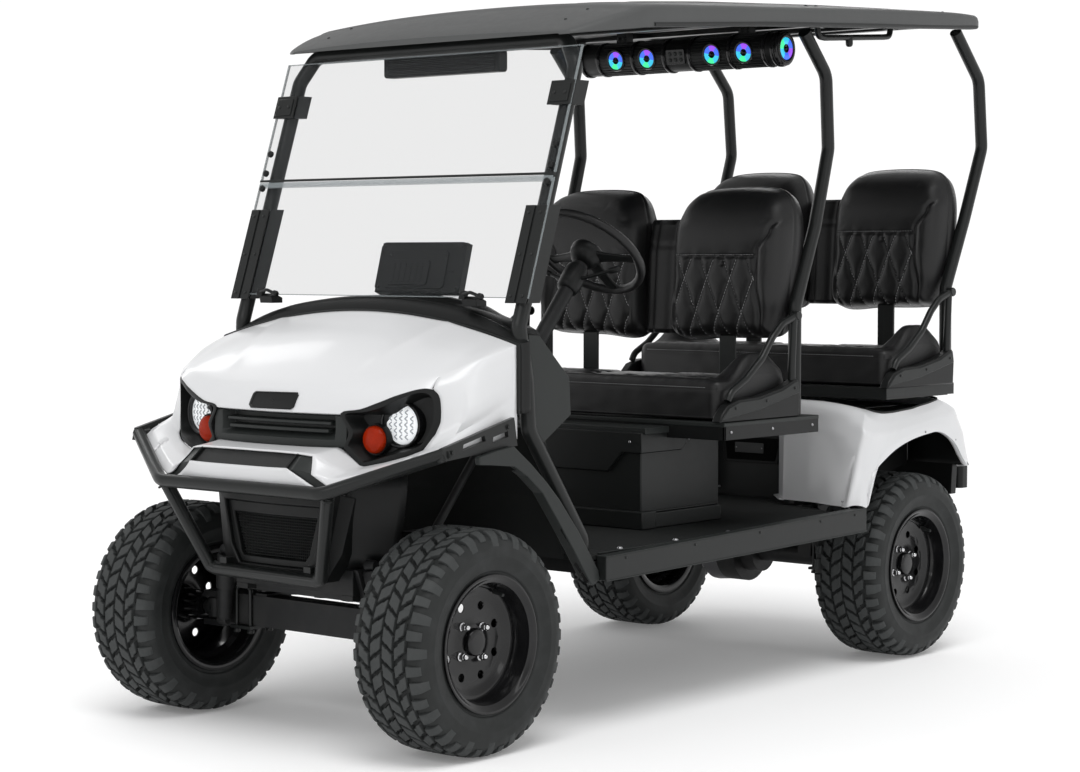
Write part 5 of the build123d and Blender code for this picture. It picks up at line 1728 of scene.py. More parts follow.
# y, drop from the top line, share of the hump
LINE = [(204, -34, 0), (206, -14, 0), (216, -4, 0.1), (234, 0, 0.6), (262, 1, 1), (292, 0, 1), (312, -6, 0.9), (322, -18, 0.7), (325, -34, 0.4), (322, -60, 0.2), (316, -96, 0), (312, -132, 0),
        (316, -170, 0), (318, -204, 0), (312, -224, 0), (296, -232, 0), (262, -234, 0)]
for x in xs:
    e = 1 - smoothstep(430, 474, abs(x))
    row = []
    for y, d, h in LINE:
        top = dash_top(x)
        z = top + d + hump(x) * h - (1 - e) * 6
        if d < -50:
            z = lerp(top, 1090, 0.75) + d
        row.append(Vector((x, y - (1 - e) * 5 * (1 if y > 290 else 0), z)))
    dash_rows.append(row)
D = Shape()
D.grid(dash_rows)
D.add(dash_rows[0], [tuple(range(len(LINE)))])
D.add(dash_rows[-1], [tuple(reversed(range(len(LINE))))])
dash = D.make("dashboard_shell", M["black"], stands_for="dashboard", smooth=50)
sub = dash.modifiers.new("smooth", "SUBSURF")
sub.levels = sub.render_levels = 1

F = Shape()
# pocket mouths, each a raised lip round a dark well, the well a near-black face of painted shade: x0, x1, z0, z1
for x0, x1, z0, z1 in ((-430, -250, 880, 1010), (-225, -60, 905, 1010), (395, 455, 880, 985)):
    lip = [(x0 - 7, z0 - 7), (x1 + 7, z0 - 7), (x1 + 7, z1 + 7), (x0 - 7, z1 + 7)]
    F.py(lip, 312, 327)
    F.py([(x0, z0), (x1, z0), (x1, z1), (x0, z1)], 326, 328, 1)
# switch row and key switch
for k in range(4):
    F.py([(20 + k * 34, 960), (44 + k * 34, 960), (44 + k * 34, 992), (20 + k * 34, 992)], 313, 328)
    F.py([(23 + k * 34, 963), (41 + k * 34, 963), (41 + k * 34, 989), (23 + k * 34, 984)], 327, 332, 1)
F.make("dash_fascia_details", [M["black"], M["deep_black_and_painted_shade"]], bevel=1.4)
G = Shape()
G.turned((180, 318, 930), (0, 1, 0), [(0, 17), (8, 17), (10, 15), (12, 12), (12, 7), (9, 6)], 28)
G.box(178.6, 181.4, 326, 352, 921, 939)
for x in (-445, -235, -40, 372, 462):
    for z in (866, 1022):
        G.dome_bolt((x if abs(x) < 440 else x * 0.99, 322, z), (0, 1, 0), 3.4)
G.make("dash_key_and_screws", M["zinc"], smooth=45)
H = Shape()
# cup holders let into the shelf each side of the centre; the near-black disc inside each ring is painted shade for the
# hollow
for cx in (-150, -250):
    z = dash_top(cx)
    H.ring_of((cx, 268, z + 1), (0, 0, 1), [(-2, 36), (2.6, 37), (4.4, 40), (3.0, 44), (0.4, 45), (-2, 45)], n=40)
    H.turned((cx, 268, z + 0.2), (0, 0, 1), [(0.2, 36.5), (1.6, 36.5)], 40, mat=1)
H.make("dash_cup_rings", [M["black"], M["deep_black_and_painted_shade"]], smooth=50)

# ---- steering wheel ------------------------------------------------------------------------------
T49 = math.radians(49)
WC = Vector((280, 745, 1228))
WN, WU, WV = Vector((0, math.cos(T49), math.sin(T49))), Vector((1, 0, 0)), Vector((0, math.sin(T49), -math.cos(T49)))


def on_wheel(r, a, h=0.0):
    a = math.radians(a)
    return WC + WU * (r * math.cos(a)) + WV * (r * math.sin(a)) + WN * h


SW = Shape()
rim_rows = []
for k in range(96):
    a = 360.0 * k / 96
    grip = 1.0 + 0.10 * (math.exp(-((a - 12) % 360 / 16.0) ** 2) + math.exp(-((a - 168) / 16.0) ** 2))
    # finger waves along the rim's inner side
    row = []
    for q in range(16):
        t = 2 * math.pi * q / 16
        rr = 12.4 * grip - (1.1 * max(0.0, -math.cos(t)) * (0.5 + 0.5 * math.sin(math.radians(a) * 26)))
        row.append(on_wheel(158 + rr * math.cos(t), a, rr * math.sin(t)))
    rim_rows.append(row)
SW.grid(rim_rows, close_u=True, close_v=True)
SW.make("steering_wheel_rim", M["vinyl"], "steering_wheel", None, "steering_wheel", smooth=60)
SP = Shape()
for a, wide in ((12, 15), (168, 15), (90, 20)):
    rows = []
    for r, w, h, t in ((34, wide + 8, -10, 8), (60, wide + 3, -8, 6), (90, wide, -5, 5), (120, wide - 2, -2, 5), (140, wide + 1, 0, 5.5), (150, wide + 5, 0, 6)):
        tang = (on_wheel(1, a + 90) - WC)
        c = on_wheel(r, a, h)
        ring = []
        for q in range(14):
            th = 2 * math.pi * q / 14
            cx, cy = math.cos(th), math.sin(th)
            ring.append(c + tang * (w * math.copysign(abs(cx) ** 0.7, cx)) + WN * (t * math.copysign(abs(cy) ** 0.8, cy)))
        rows.append(ring)
    SP.rings(rows)
SP.turned(WC, WN, [(-40, 24), (-34, 34), (-20, 43), (-8, 46), (2, 46), (8, 43.5), (12, 37), (13, 35.5), (12.2, 34.5), (14.5, 30), (16, 20), (16.6, 6)], 48)
SP.make("steering_wheel_spokes", M["black"], "steering_wheel", smooth=48)
SC = Shape()
SC.turned(WC, WN, [(-44, 18), (-58, 20), (-60, 30), (-74, 33), (-120, 32), (-134, 28), (-138, 21)], 32)
a0 = WC - WN * 96
SC.tube([a0 + WU * 26, a0 + WU * 70 + WN * 14, a0 + WU * 118 + WN * 30], 5.0, 24, 12)
SC.turned(a0 + WU * 112 + WN * 28, (WU * 48 + WN * 16), [(-2, 6), (2, 8.4), (26, 8.4), (31, 5)], 16)
SC.tube([a0 - WU * 26, a0 - WU * 64 + WN * 8, a0 - WU * 92 + WN * 18], 5.0, 24, 12)
SC.turned(a0 - WU * 86 + WN * 16, (WU * -44 + WN * 14), [(-2, 6), (2, 8.0), (20, 8.0), (24, 5)], 16)
SC.make("steering_column_shroud", M["black"], "chassis", smooth=45)

# ---- tablet: stepped back plate, screen, screws ----------------------------------------------------
TD = Vector((0, 36, 130)).normalized()
TN = Vector((0, -130, 36)).normalized()
T0 = Vector((0, 262, 1122))


def tab(x, s, o):
    return T0 + Vector((x, 0, 0)) + TD * s + TN * o


def slab(S, x0, x1, s0, s1, o0, o1, cut=6, mat=0):
    pts = [(x0 + cut, s0), (x1 - cut, s0), (x1, s0 + cut), (x1, s1 - cut), (x1 - cut, s1), (x0 + cut, s1), (x0, s1 - cut), (x0, s0 + cut)]
    S.rings([[tab(x, s, o0) for x, s in pts], [tab(x, s, o1) for x, s in pts]], mat)


TB = Shape()
slab(TB, -57, 247, 2, 136, -2.5, 2.0, 12)
slab(TB, -22, 191, 10, 113, 1.5, 6.5, 8)
slab(TB, -7, 134, 18, 86, 6.0, 10.5, 6)
for k in range(6):
    slab(TB, 4 + k * 20, 14 + k * 20, 26, 78, 10.0, 12.0, 2)
TB.make("tablet_back", M["black"], bevel=1.0)
TS = Shape()
for x, s in ((-44, 14), (-44, 124), (234, 14), (234, 124), (-14, 100), (183, 100), (202, 58), (214, 58)):
    p = tab(x, s, 2.0 if not -22 < x < 191 else 6.5)
    TS.dome_bolt(p, TN, 3.4)
TS.make("tablet_screws", M["steel"], smooth=50)
TG = Shape()
R0 = Vector((0, 283, 1118))
TD2 = Vector((0, 35, 131)).normalized()
TN2 = Vector((0, 131, -35)).normalized()
TG.rings([[R0 + Vector((x, 0, 0)) + TD2 * s + TN2 * o for x, s in ((-47, 8), (237, 8), (237, 126), (-47, 126))] for o in (0.5, 2.2)])
TG.make("tablet_screen_glass", M["screen"], bevel=0.6)

# ---- mirror: ribs on the back, mirror glass, clamp knobs --------------------------------------------
MR = Shape()
for k in range(5):
    z = 1713 + k * 9.2
    MR.px([(472.5, z), (477, z - 1.6), (477, z + 5.2), (472.5, z + 3.6)], -206, 184)
MR.make("mirror_ribs", M["black"], bevel=0.8)
MG = Shape()
MG.py([(-212, 1712), (-206, 1708), (184, 1708), (190, 1712), (190, 1754), (184, 1758), (-206, 1758), (-212, 1754)], 505.5, 507.5)
MG.make("mirror_glass", M["chrome"], bevel=0.8)
MK = Shape()
for x in (-130, 130):
    MK.turned((x - 11, 491, 1772), (1, 0, 0), [(0, 6), (3, 7), (19, 7), (22, 6)], 16)
    MK.dome_bolt((x, 484, 1786), (0, -1, 0), 4)
MK.make("mirror_clamps", M["steel"], smooth=45)

# ---- front seat pedestal: box with raised front frame, side slabs, base flange, deck skirt ---------
PD = Shape()
PX = 312


def hollow(S, xo, ya, yb, xi, yc, yd, z0, z1):
    """Rectangular ring: outer +-xo by ya..yb, open inside +-xi by yc..yd."""
    o = [(-xo, ya), (xo, ya), (xo, yb), (-xo, yb)]
    i = [(-xi, yc), (xi, yc), (xi, yd), (-xi, yd)]
    loops = [[(x, y, z) for x, y in pts] for pts, z in ((o, z0), (o, z1), (i, z1), (i, z0))]
    S.grid(loops, close_u=True, close_v=True)


hollow(PD, PX, 942, 1310, 300, 954, 1298, 456, 737)
PD.make("pedestal_core", M["pedestal"], bevel=5, seg=3, stands_for="front_seat_base")
PF = Shape()
# raised front panel between the slabs
outline = [(-PX, 727), (-PX, 669), (-252, 669), (-200, 613), (200, 613), (252, 669), (PX, 669), (PX, 727)]
PF.py(outline, 932, 944)
for sx in (-1, 1):
    PF.px([(932, 727), (1180, 727), (1120, 669), (932, 669)], sx * 306, sx * 322)
    PF.px([(938, 500), (1300, 500), (1300, 507), (938, 507)], sx * 306, sx * 318)
    PF.px([(984, 456), (1314, 456), (1314, 500), (984, 500)], sx * 306, sx * 318)
PF.make("pedestal_panels", M["pedestal"], bevel=5, seg=3)
PB = Shape()
PB.pz([(-326, 930), (326, 930), (326, 996), (316, 1002), (306, 1002), (306, 946), (-306, 946), (-306, 1002), (-316, 1002), (-326, 996)], 456, 507)
PB.make("pedestal_base_flange", M["pedestal"], bevel=4, seg=3)
SK = Shape()
SK.box(-521, 521, 1049, 1057, 708, 752)
for sx in (-1, 1):
    SK.box(sx * 513, sx * 521, 1049, 1513, 708, 752)
SK.box(-513, 513, 1505, 1513, 708, 752)
SK.make("seat_deck_skirt", M["black"], bevel=2)
DK = Shape()
# deck plate, open over the batteries
hollow(DK, 522, 1047, 1514, 280, 1100, 1400, 745, 757)
DK.box(-330, 330, 940, 1050, 722, 741)
for sx in (-1, 1):
    DK.box(sx * 229, sx * 287, 1423, 1431, 752, 984.5)
DK.make("seat_deck", M["grey"], bevel=3, seg=3)
SB = Shape()
for sx in (-1, 1):
    for z in (800, 930):
        SB.bolt((sx * 258, 1431, z), (0, 1, 0), 6)
    for y in (1080, 1280, 1480):
        SB.dome_bolt((sx * 521, y, 730), (sx, 0, 0), 4.5)
    SB.dome_bolt((sx * 280, 933.5, 700), (0, -1, 0), 5)
    SB.dome_bolt((sx * 322, 1150, 700), (sx, 0, 0), 5)
SB.make("seat_base_bolts", M["zinc"], smooth=50)

# ---- floor mat: cross ribs, edge strip with bolts; rocker edges painted paler as highlights ---------
FL = Shape()
y = 520
while y < 1890:
    w = 545 if y < 1600 else 545 - (y - 1600) * 1.1
    if y < 925:
        FL.px([(y - 2.2, 454.6), (y, 457.2), (y + 3.0, 457.2), (y + 5.2, 454.6)], -w, w)
    elif y < 1318:
        for sx in (-1, 1):
            FL.px([(y - 2.2, 454.6), (y, 457.2), (y + 3.0, 457.2), (y + 5.2, 454.6)], sx * 330, sx * w)
    else:
        w = min(w, 545 if y < 1600 else (480 if y < 1680 else 345 if y < 1755 else 205 if y < 1800 else 140))
        FL.px([(y - 2.2, 454.6), (y, 457.2), (y + 3.0, 457.2), (y + 5.2, 454.6)], -w, w)
    y += 16
FL.make("floor_mat_ribs", M["mat"], smooth=50)
SI = Shape()
for sx in (-1, 1):
    SI.px([(450, 455.2), (1592, 455.2), (1592, 459.5), (450, 458)], sx * 551, sx * 558.5)
SI.make("sill_strips", M["grey"], bevel=1.0)
BO = Shape()
for px_y in (560, 800, 1040, 1280, 1520):
    BO.dome_bolt((540, px_y, 457), (0, 0, 1), 8)
BO.mirror()
BO.make("sill_bolts", M["zinc"], smooth=50)
RK = Shape()
# paler grey strips over the rocker's top and along its lower edge: painted highlights on those edges
RK.px([(438, 449), (1662, 476), (1662, 479), (438, 452)], 560, 592.5)
RK.px([(438, 386.6), (1662, 408.6), (1662, 412), (438, 390)], 588, 593.5)
RK.mirror()
RK.make("rocker_edge_highlights", M["grey"], bevel=0.8)
RB = Shape()
for yy in (520, 820, 1120, 1420, 1600):
    RB.dome_bolt((592, yy, 440 + (yy - 438) * 0.02), (1, 0, 0), 4)
RB.mirror()
RB.make("rocker_screws", M["steel"], smooth=50)


# ---- rear body: wheel housings with oblique front walls, fender tops, arches, back panel --------
def catmull(pts, t):
    """Point at t (0..len-1) on the smooth curve through pts."""
    n = len(pts)
    i = min(n - 2, max(0, int(t)))
    u = t - i
    p0, p1, p2, p3 = (Vector(pts[max(0, i - 1)]), Vector(pts[i]), Vector(pts[i + 1]), Vector(pts[min(n - 1, i + 2)]))
    return 0.5 * (2 * p1 + (p2 - p0) * u + (2 * p0 - 5 * p1 + 4 * p2 - p3) * u * u + (3 * p1 - p0 - 3 * p2 + p3) * u ** 3)


def spaced(pts, n):
    """n points evenly spaced along a polyline."""
    d = [0.0]
    for a, b in zip(pts, pts[1:]):
        d.append(d[-1] + (Vector(b) - Vector(a)).length)
    out = []
    j = 0
    for k in range(n):
        t = d[-1] * k / (n - 1)
        while j < len(d) - 2 and d[j + 1] < t:
            j += 1
        u = (t - d[j]) / max(1e-6, d[j + 1] - d[j])
        out.append(Vector(pts[j]).lerp(Vector(pts[j + 1]), min(1.0, max(0.0, u))))
    return out


# one row per station round the shell: bottom edge, under the ridge, ridge, inner top edge, turned-down flange; then the bend at ridge and top
FRONT_WALL = [
    ((150, 1880, 474), (150, 1880, 700), (150, 1881, 750), (150, 1888, 762), (150, 1900, 758), 10, 6),
    ((150, 1851, 474), (150, 1852, 700), (150, 1855, 757), (154, 1872, 770), (158, 1890, 762), 12, 8),
    ((226, 1766, 474), (226, 1769, 700), (227, 1774, 766), (231, 1796, 781), (236, 1823, 770), 16, 12),
    ((240, 1752, 474), (241, 1758, 700), (243, 1766, 767), (248, 1796, 782), (252, 1828, 769), 16, 12),
    ((345, 1738, 474), (347, 1746, 694), (350, 1756, 764), (356, 1790, 779), (362, 1832, 766), 20, 12),
    ((448, 1684, 476), (452, 1714, 684), (457, 1734, 752), (463, 1776, 768), (472, 1818, 758), 24, 12),
    ((526, 1640, 480), (531, 1682, 650), (535, 1708, 716), (510, 1762, 754), (500, 1822, 753), 22, 12),
]
CORNER = [
    ((552, 1614, 482), (556, 1664, 620), (560, 1702, 700), (530, 1752, 741), (512, 1822, 750), 18, 12),
    ((570, 1631, 487), (571, 1676, 610), (571, 1722, 692), (545, 1776, 726), (518, 1836, 748), 16, 12),
    ((585, 1646, 485), (583, 1696, 600), (574, 1744, 691), (548, 1792, 722), (521, 1850, 746), 16, 12),
]
SIDE = [
    ((592, 1666, 482), (587, 1722, 610), (574, 1766, 691), (549, 1812, 720), (521, 1866, 745), 16, 12),
    ((592, 1680, 531), (588, 1742, 628), (574, 1792, 691), (549, 1834, 719), (521, 1880, 745), 16, 12),
    ((592, 1714, 586), (588, 1768, 646), (574, 1820, 692), (549, 1856, 719), (521, 1896, 745), 16, 12),
    ((592, 1766, 617), (588, 1808, 656), (574, 1848, 693), (549, 1878, 720), (521, 1914, 745), 16, 12),
    ((592, 1832, 645), (588, 1858, 670), (574, 1884, 697), (549, 1908, 721), (521, 1936, 746), 15, 12),
    ((592, 1915, 666), (588, 1928, 684), (574, 1942, 704), (549, 1956, 726), (521, 1970, 748), 14, 12),
    ((592, 2004, 678), (588, 2008, 694), (574, 2012, 712), (549, 2016, 732), (521, 2020, 751), 13, 12),
    ((592, 2064, 681), (588, 2066, 700), (574, 2068, 720), (549, 2068, 739), (520, 2068, 757), 13, 12),
    ((592, 2118, 666), (588, 2122, 696), (573, 2124, 726), (548, 2120, 745), (519, 2114, 762), 14, 12),
    ((592, 2165, 639), (586, 2168, 690), (569, 2168, 733), (546, 2160, 751), (518, 2150, 767), 16, 12),
    ((590, 2213, 592), (582, 2212, 680), (563, 2202, 741), (543, 2190, 758), (516, 2176, 771), 18, 12),
]
BACK = [
    ((585, 2250, 566), (574, 2240, 670), (554, 2218, 744), (534, 2202, 761), (510, 2186, 774), 20, 12),
    ((568, 2288, 562), (556, 2264, 664), (536, 2232, 744), (516, 2212, 763), (494, 2192, 776), 22, 12),
    ((536, 2306, 560), (526, 2280, 658), (508, 2242, 742), (492, 2220, 764), (474, 2196, 778), 24, 12),
    ((480, 2312, 560), (472, 2290, 656), (460, 2256, 746), (450, 2224, 764), (440, 2198, 778), 26, 12),
    ((300, 2316, 560), (296, 2294, 656), (292, 2262, 748), (290, 2226, 764), (288, 2200, 778), 26, 12),
    ((120, 2317, 560), (120, 2295, 656), (120, 2263, 748), (120, 2227, 764), (120, 2200, 778), 26, 12),
    ((0, 2317, 560), (0, 2295, 656), (0, 2263, 748), (0, 2227, 764), (0, 2200, 778), 26, 12),
]


def shell_rows(table, per, lip=True):
    """Rows of points for a run of stations, interpolated smoothly between them."""
    rows = []
    for st in table:
        p = [Vector(q) for q in st[:5]]
        path = rounded(p, [60, st[5], st[6] + 10], 7.0)
        rows.append(spaced(path, 34))
    out = []
    n = len(rows)
    for k in range((n - 1) * per + 1):
        t = k / per
        out.append([catmull([r[i] for r in rows], t) for i in range(34)])
    return out


wall_rows = shell_rows(FRONT_WALL[:3], 1)[:-1] + shell_rows(FRONT_WALL[2:], 5)[:-1]
whole = shell_rows(FRONT_WALL[1:] + CORNER + SIDE + BACK, 5)
# soft roll where the shell's bottom edges turn inward
shell = Shape()
edge_in = []
n_all = len(whole)
for k, row in enumerate(whole):
    a = whole[max(0, k - 1)][0]
    b = whole[min(n_all - 1, k + 1)][0]
    tangent = (b - a).normalized()
    up = (row[1] - row[0]).normalized()
    nrm = tangent.cross(up).normalized()
    inward = nrm if nrm.dot(Vector((row[0].x, row[0].y - 1990, 0))) < 0 else -nrm
    edge_in.append([row[0] + inward * 16 + up * 3, row[0] + inward * 9 + up * 0.5, row[0] + inward * 3 - up * 0.2])
shell.grid([edge_in[k] + row for k, row in enumerate(whole)])
# inner return of the housing wall down the footwell end
back_row = whole[0]
shell.grid([[p + Vector((0, 70, 0)) for p in edge_in[0] + back_row], edge_in[0] + back_row])
shell.mirror()
rear_shell = shell.make("rear_body_shell", M["white"], slot="body" if False else None, stands_for="rear_body", smooth=42, weld=0.4)
so = rear_shell.modifiers.new("thickness", "SOLIDIFY")
so.thickness, so.offset = 0.0032, -1.0

# dark liner inside each housing, with a flat inner wall and a closing plate under the seat base
liner = Shape()
arch = [(1640, 474), (1652, 500), (1672, 538), (1708, 592), (1762, 624), (1830, 652), (1915, 673), (2004, 685), (2064, 688), (2124, 674), (2174, 646), (2222, 600), (2262, 566)]
for sx in (1,):
    fine = [catmull([(0, y, z) for y, z in arch], k / 4) for k in range((len(arch) - 1) * 4 + 1)]
    rows = [[Vector((583, p.y, p.z)) for p in spaced(fine, 61)]]
    # inboard of the arch lip the liner climbs to lie just under the shell
    for x, line in (
        (570, [(1640, 474), (1672, 538), (1702, 620), (1746, 680), (1772, 688), (2218, 688), (2234, 640), (2262, 566)]),
        (549, [(1642, 474), (1692, 620), (1736, 690), (1768, 711), (2212, 711), (2234, 688), (2250, 640), (2264, 566)]),
        (521, [(1652, 474), (1702, 650), (1742, 718), (1780, 735), (2226, 735), (2242, 716), (2256, 670), (2264, 566)]),
        (440, [(1717, 474), (1736, 684), (1754, 734), (1792, 743), (2238, 743), (2254, 705), (2261, 650), (2264, 566)]),
        (362, [(1779, 474), (1781, 700), (1790, 738), (1798, 743), (2238, 743), (2256, 705), (2262, 650), (2264, 566)]),
    ):
        rows.append(spaced([(x, y, z) for y, z in line], 61))
    liner.grid(rows)
liner.px([(1790, 474), (1960, 474), (1960, 500), (2262, 560), (2262, 744), (1790, 744)], 354, 358)
liner.mirror()
li = liner.make("rear_wheel_liners", M["black"], smooth=40, weld=0.3)
lm = li.modifiers.new("thickness", "SOLIDIFY")
lm.thickness, lm.offset = 0.002, 0.0

under = Shape()
under.box(-352, 352, 1965, 2270, 746, 751)
under.box(-505, 505, 2196, 2240, 746, 751)
under.px([(2262, 470), (2292, 470), (2300, 566), (2270, 566)], -520, 520)
for x in (-392, -196, 0, 196, 392):
    under.px([(2296, 478), (2302, 478), (2304, 556), (2299, 556)], x - 60, x + 60)
under.make("rear_underpanel", M["black"], bevel=1.5)

# seam and screws of the shell
trim = Shape()
seam_path = [p for p in spaced([whole[k][-1] + Vector((0, 0, 1)) for k in range(0, n_all)], 120)]
trim.sweep(seam_path, [(3.5 * math.cos(a), 3.5 * math.sin(a)) for a in [math.pi * q / 4 for q in range(8)]])
trim.mirror()
trim.make("rear_shell_gasket", M["black"], smooth=50)

screws = Shape()
for x, y, z, n in ((232, 1764, 520, (-0.1, -1, 0.02)), (232, 1765, 610, (-0.1, -1, 0.02)), (342, 1758, 492, (0.1, -1, 0)), (446, 1693, 492, (0.55, -0.84, 0)), (528, 1630, 496, (0.6, -0.8, 0)),
                   (589, 1692, 536, (1, 0, 0)), (589, 2170, 650, (1, 0, 0.1)), (591, 1990, 684, (1, 0, 0.1))):
    screws.dome_bolt((x, y, z), n, 3.6)
screws.mirror()
screws.make("rear_shell_screws", M["zinc"], smooth=50)

# ---- footwell end wall: blank recess with a plain plate and screws ------------------------------
recess = Shape()
W_Y = 1925.0
recess.py([(-118, 652), (118, 652), (122, 648), (96, 566), (90, 562), (-104, 562), (-110, 568)], W_Y - 5, W_Y + 1)
# the recess is a near-black face standing proud of the surround: painted shade for its depth
recess.py([(-104, 643), (106, 643), (86, 571), (-96, 571)], W_Y - 7.5, W_Y - 4, 1)
recess.make("recess_surround", [M["black"], M["deep_black_and_painted_shade"]], bevel=1.6)
plate = Shape()
plate.py(rounded([(-66, 0, 594), (-66, 0, 626), (46, 0, 626), (46, 0, 594), (-66, 0, 594)], 4)[:0] or [(-64, 596), (-64, 624), (-62, 626), (44, 626), (46, 624), (46, 596), (44, 594), (-62, 594)], W_Y - 10, W_Y - 6.5)
plate.make("blank_plate", M["roof"], bevel=0.8)
pb = Shape()
for x in (-58, 40):
    pb.dome_bolt((x, W_Y - 10, 610), (0, -1, 0), 2.6)
for x, z in ((-130, 480), (130, 480), (-130, 700), (130, 700)):
    pb.dome_bolt((x, W_Y - 1, z), (0, -1, 0), 4.5)
pb.make("rear_wall_screws", M["zinc"], smooth=50)

# ---- tail lamps: black cup, red lens with flutes, on both sides ----------------------------------
def tail(sx, tag):
    cup, lens, fl = Shape(), Shape(), Shape()
    yb = 2296.0
    ring = [(360, 640), (470, 640), (470, 690), (360, 690)]
    def rrect(x0, x1, z0, z1, r, n=5):
        pts = []
        for cx, cz, a0 in ((x1 - r, z1 - r, 0), (x0 + r, z1 - r, 90), (x0 + r, z0 + r, 180), (x1 - r, z0 + r, 270)):
            for q in range(n + 1):
                a = math.radians(a0 + 90 * q / n)
                pts.append((cx + r * math.cos(a), cz + r * math.sin(a)))
        return pts
    outer_r, inner_r = rrect(352, 478, 632, 698, 12), rrect(360, 470, 640, 690, 9)
    loops = []
    for pts, y in ((outer_r, yb - 26), (outer_r, yb + 4), (rrect(356, 474, 636, 694, 10), yb + 8), (inner_r, yb + 8), (inner_r, yb - 2)):
        loops.append([Vector((sx * x, y, z)) for x, z in pts])
    cup.rings(loops, cap0=True, cap1=True)
    cup.make("tail_cup_" + tag, M["black"], smooth=40)
    loops = []
    for inset, y in ((0.0, yb - 1), (0.0, yb + 6), (2.0, yb + 9), (5.0, yb + 10)):
        pts = rrect(361 + inset, 469 - inset, 641 + inset, 689 - inset, 8)
        loops.append([Vector((sx * x, y, z)) for x, z in pts])
    lens.rings(loops, cap0=True, cap1=True)
    lens.make("tail_lens_" + tag, M["red"], smooth=40)
    for q in range(9):
        x = 372 + q * 10.8
        fl.box(sx * x - 1.2, sx * x + 1.2, yb + 9, yb + 10.8, 648, 682)
    fl.make("tail_flutes_" + tag, M["red"], bevel=0.5)


tail(1, "left")
tail(-1, "right")

# ---- bumper: bolts and rubber strip --------------------------------------------------------------
bump = Shape()
bump.px([(2409, 500), (2414, 503), (2414, 527), (2409, 530)], -470, 470)
bump.mirror() if False else None
bump.make("bumper_rub_strip", M["rubber"], bevel=1.5)
bb = Shape()
for x in (-190, 190):
    for z in (498, 532):
        bb.bolt((x, 2410, z), (0, 1, 0), 6)
for x in (-486, 486):
    bb.dome_bolt((x, 2402, 515), (0, 1, 0), 6)
bb.make("bumper_bolts", M["zinc"], smooth=40)


# ---- roof: edge seam, drip rail, ribs on top, headliner and rear handhold bar ----------------------
ROOF_ROWS = [(385, 540, 1778, 1786, 1800), (620, 588, 1806, 1864, 1890), (1150, 592, 1846, 1898, 1940), (1700, 592, 1880, 1934, 1972), (2300, 580, 1918, 1966, 1996), (2352, 545, 1935, 1958, 1984)]


def roof_at(y):
    for a, b in zip(ROOF_ROWS, ROOF_ROWS[1:]):
        if y <= b[0]:
            t = (y - a[0]) / (b[0] - a[0])
            return [lerp(p, q, t) for p, q in zip(a, b)]
    return list(ROOF_ROWS[-1])

# roof shell: crowned sections with a sloping visor and rounded corners
SHELL = [(385, 488, 1778, 1785, 1797), (398, 512, 1780, 1791, 1805), (430, 532, 1784, 1803, 1821), (500, 562, 1792, 1827, 1850), (570, 580, 1800, 1849, 1874), (640, 588, 1808, 1866, 1893),
         (880, 590, 1826, 1882, 1917), (1150, 592, 1846, 1898, 1940), (1700, 592, 1880, 1934, 1972), (2100, 587, 1906, 1957, 1990), (2270, 580, 1917, 1963, 1994), (2322, 568, 1926, 1961, 1991), (2343, 548, 1933, 1957, 1986), (2352, 522, 1938, 1955, 1982)]
SHR = Shape()


def roof_section(y, hw, zb, zs, zc):
    half = []
    for k in range(15):
        x = hw * 0.955 * k / 14
        half.append((x, zs + (zc - zs) * (1 - (x / hw) ** 2.3)))
    zt = half[-1][1]
    h = zt - zb
    half += [(hw * 0.955 + hw * 0.030, zt - min(3.5, h * 0.2)), (hw - 2.5, zt - min(9, h * 0.42)), (hw, zt - min(18, h * 0.7)), (hw, zb + 1.5), (hw - 2, zb), (hw - 9, zb), (hw - 11, zb + 2), (hw - 12, zt - min(22, h * 0.6))]
    ring = [(-x, z) for x, z in reversed(half)] + half[1:]
    return [Vector((x, y, min(z, 1995.8))) for x, z in ring]


secs = [[Vector((y, hw, zb)) for y, hw, zb, zs, zc in SHELL], [Vector((zs, zc, 0)) for y, hw, zb, zs, zc in SHELL]]
rows = []
for k in range((len(SHELL) - 1) * 5 + 1):
    a, b = catmull(secs[0], k / 5), catmull(secs[1], k / 5)
    rows.append(roof_section(a.x, min(a.y, 592.0), a.z, b.x, b.y))
SHR.grid(rows)
for row in (rows[0], rows[-1]):
    SHR.add(row, [tuple(range(len(row)))])
SHR.make("roof_shell", M["roof"], stands_for="roof", smooth=48)



def shell_top(x, y):
    """Height of the roof shell's outer face."""
    for a, b in zip(SHELL, SHELL[1:]):
        if y <= b[0]:
            t = (y - a[0]) / (b[0] - a[0])
            hw, zs, zc = lerp(a[1], b[1], t), lerp(a[3], b[3], t), lerp(a[4], b[4], t)
            break
    return zs + (zc - zs) * (1 - (abs(x) / hw) ** 2.3)


RS = Shape()
for sx in (-1, 1):
    path = []
    for k in range(40):
        y = lerp(640, 2290, k / 39)
        _, hw, zb, zs, zc = roof_at(y)
        path.append((sx * (hw + 0.5), y, zb + 8))
    RS.sweep(path, [(4.0 * math.cos(a), 5.0 * math.sin(a)) for a in [math.pi * q / 4 for q in range(8)]])
RS.make("roof_drip_rails", M["roof_edge"], smooth=50)

RT = Shape()
# low stiffening ribs along the top, each following the crown
for x0 in (-360, -180, 0, 180, 360):
    rows = []
    for k in range(30):
        y = lerp(760, 2200, k / 29)
        _, hw, zb, zs, zc = roof_at(y)
        f = smoothstep(0, 0.08, k / 29) * (1 - smoothstep(0.92, 1.0, k / 29))
        rows.append([Vector((x0 + dx, y, min(shell_top(x0 + dx, y) + h * f - 0.8, 1995.9))) for dx, h in ((-34, 0), (-24, 3.8), (24, 3.8), (34, 0))])
    RT.grid(rows)
RT.make("roof_top_ribs", M["roof"], smooth=60)

HL = Shape()
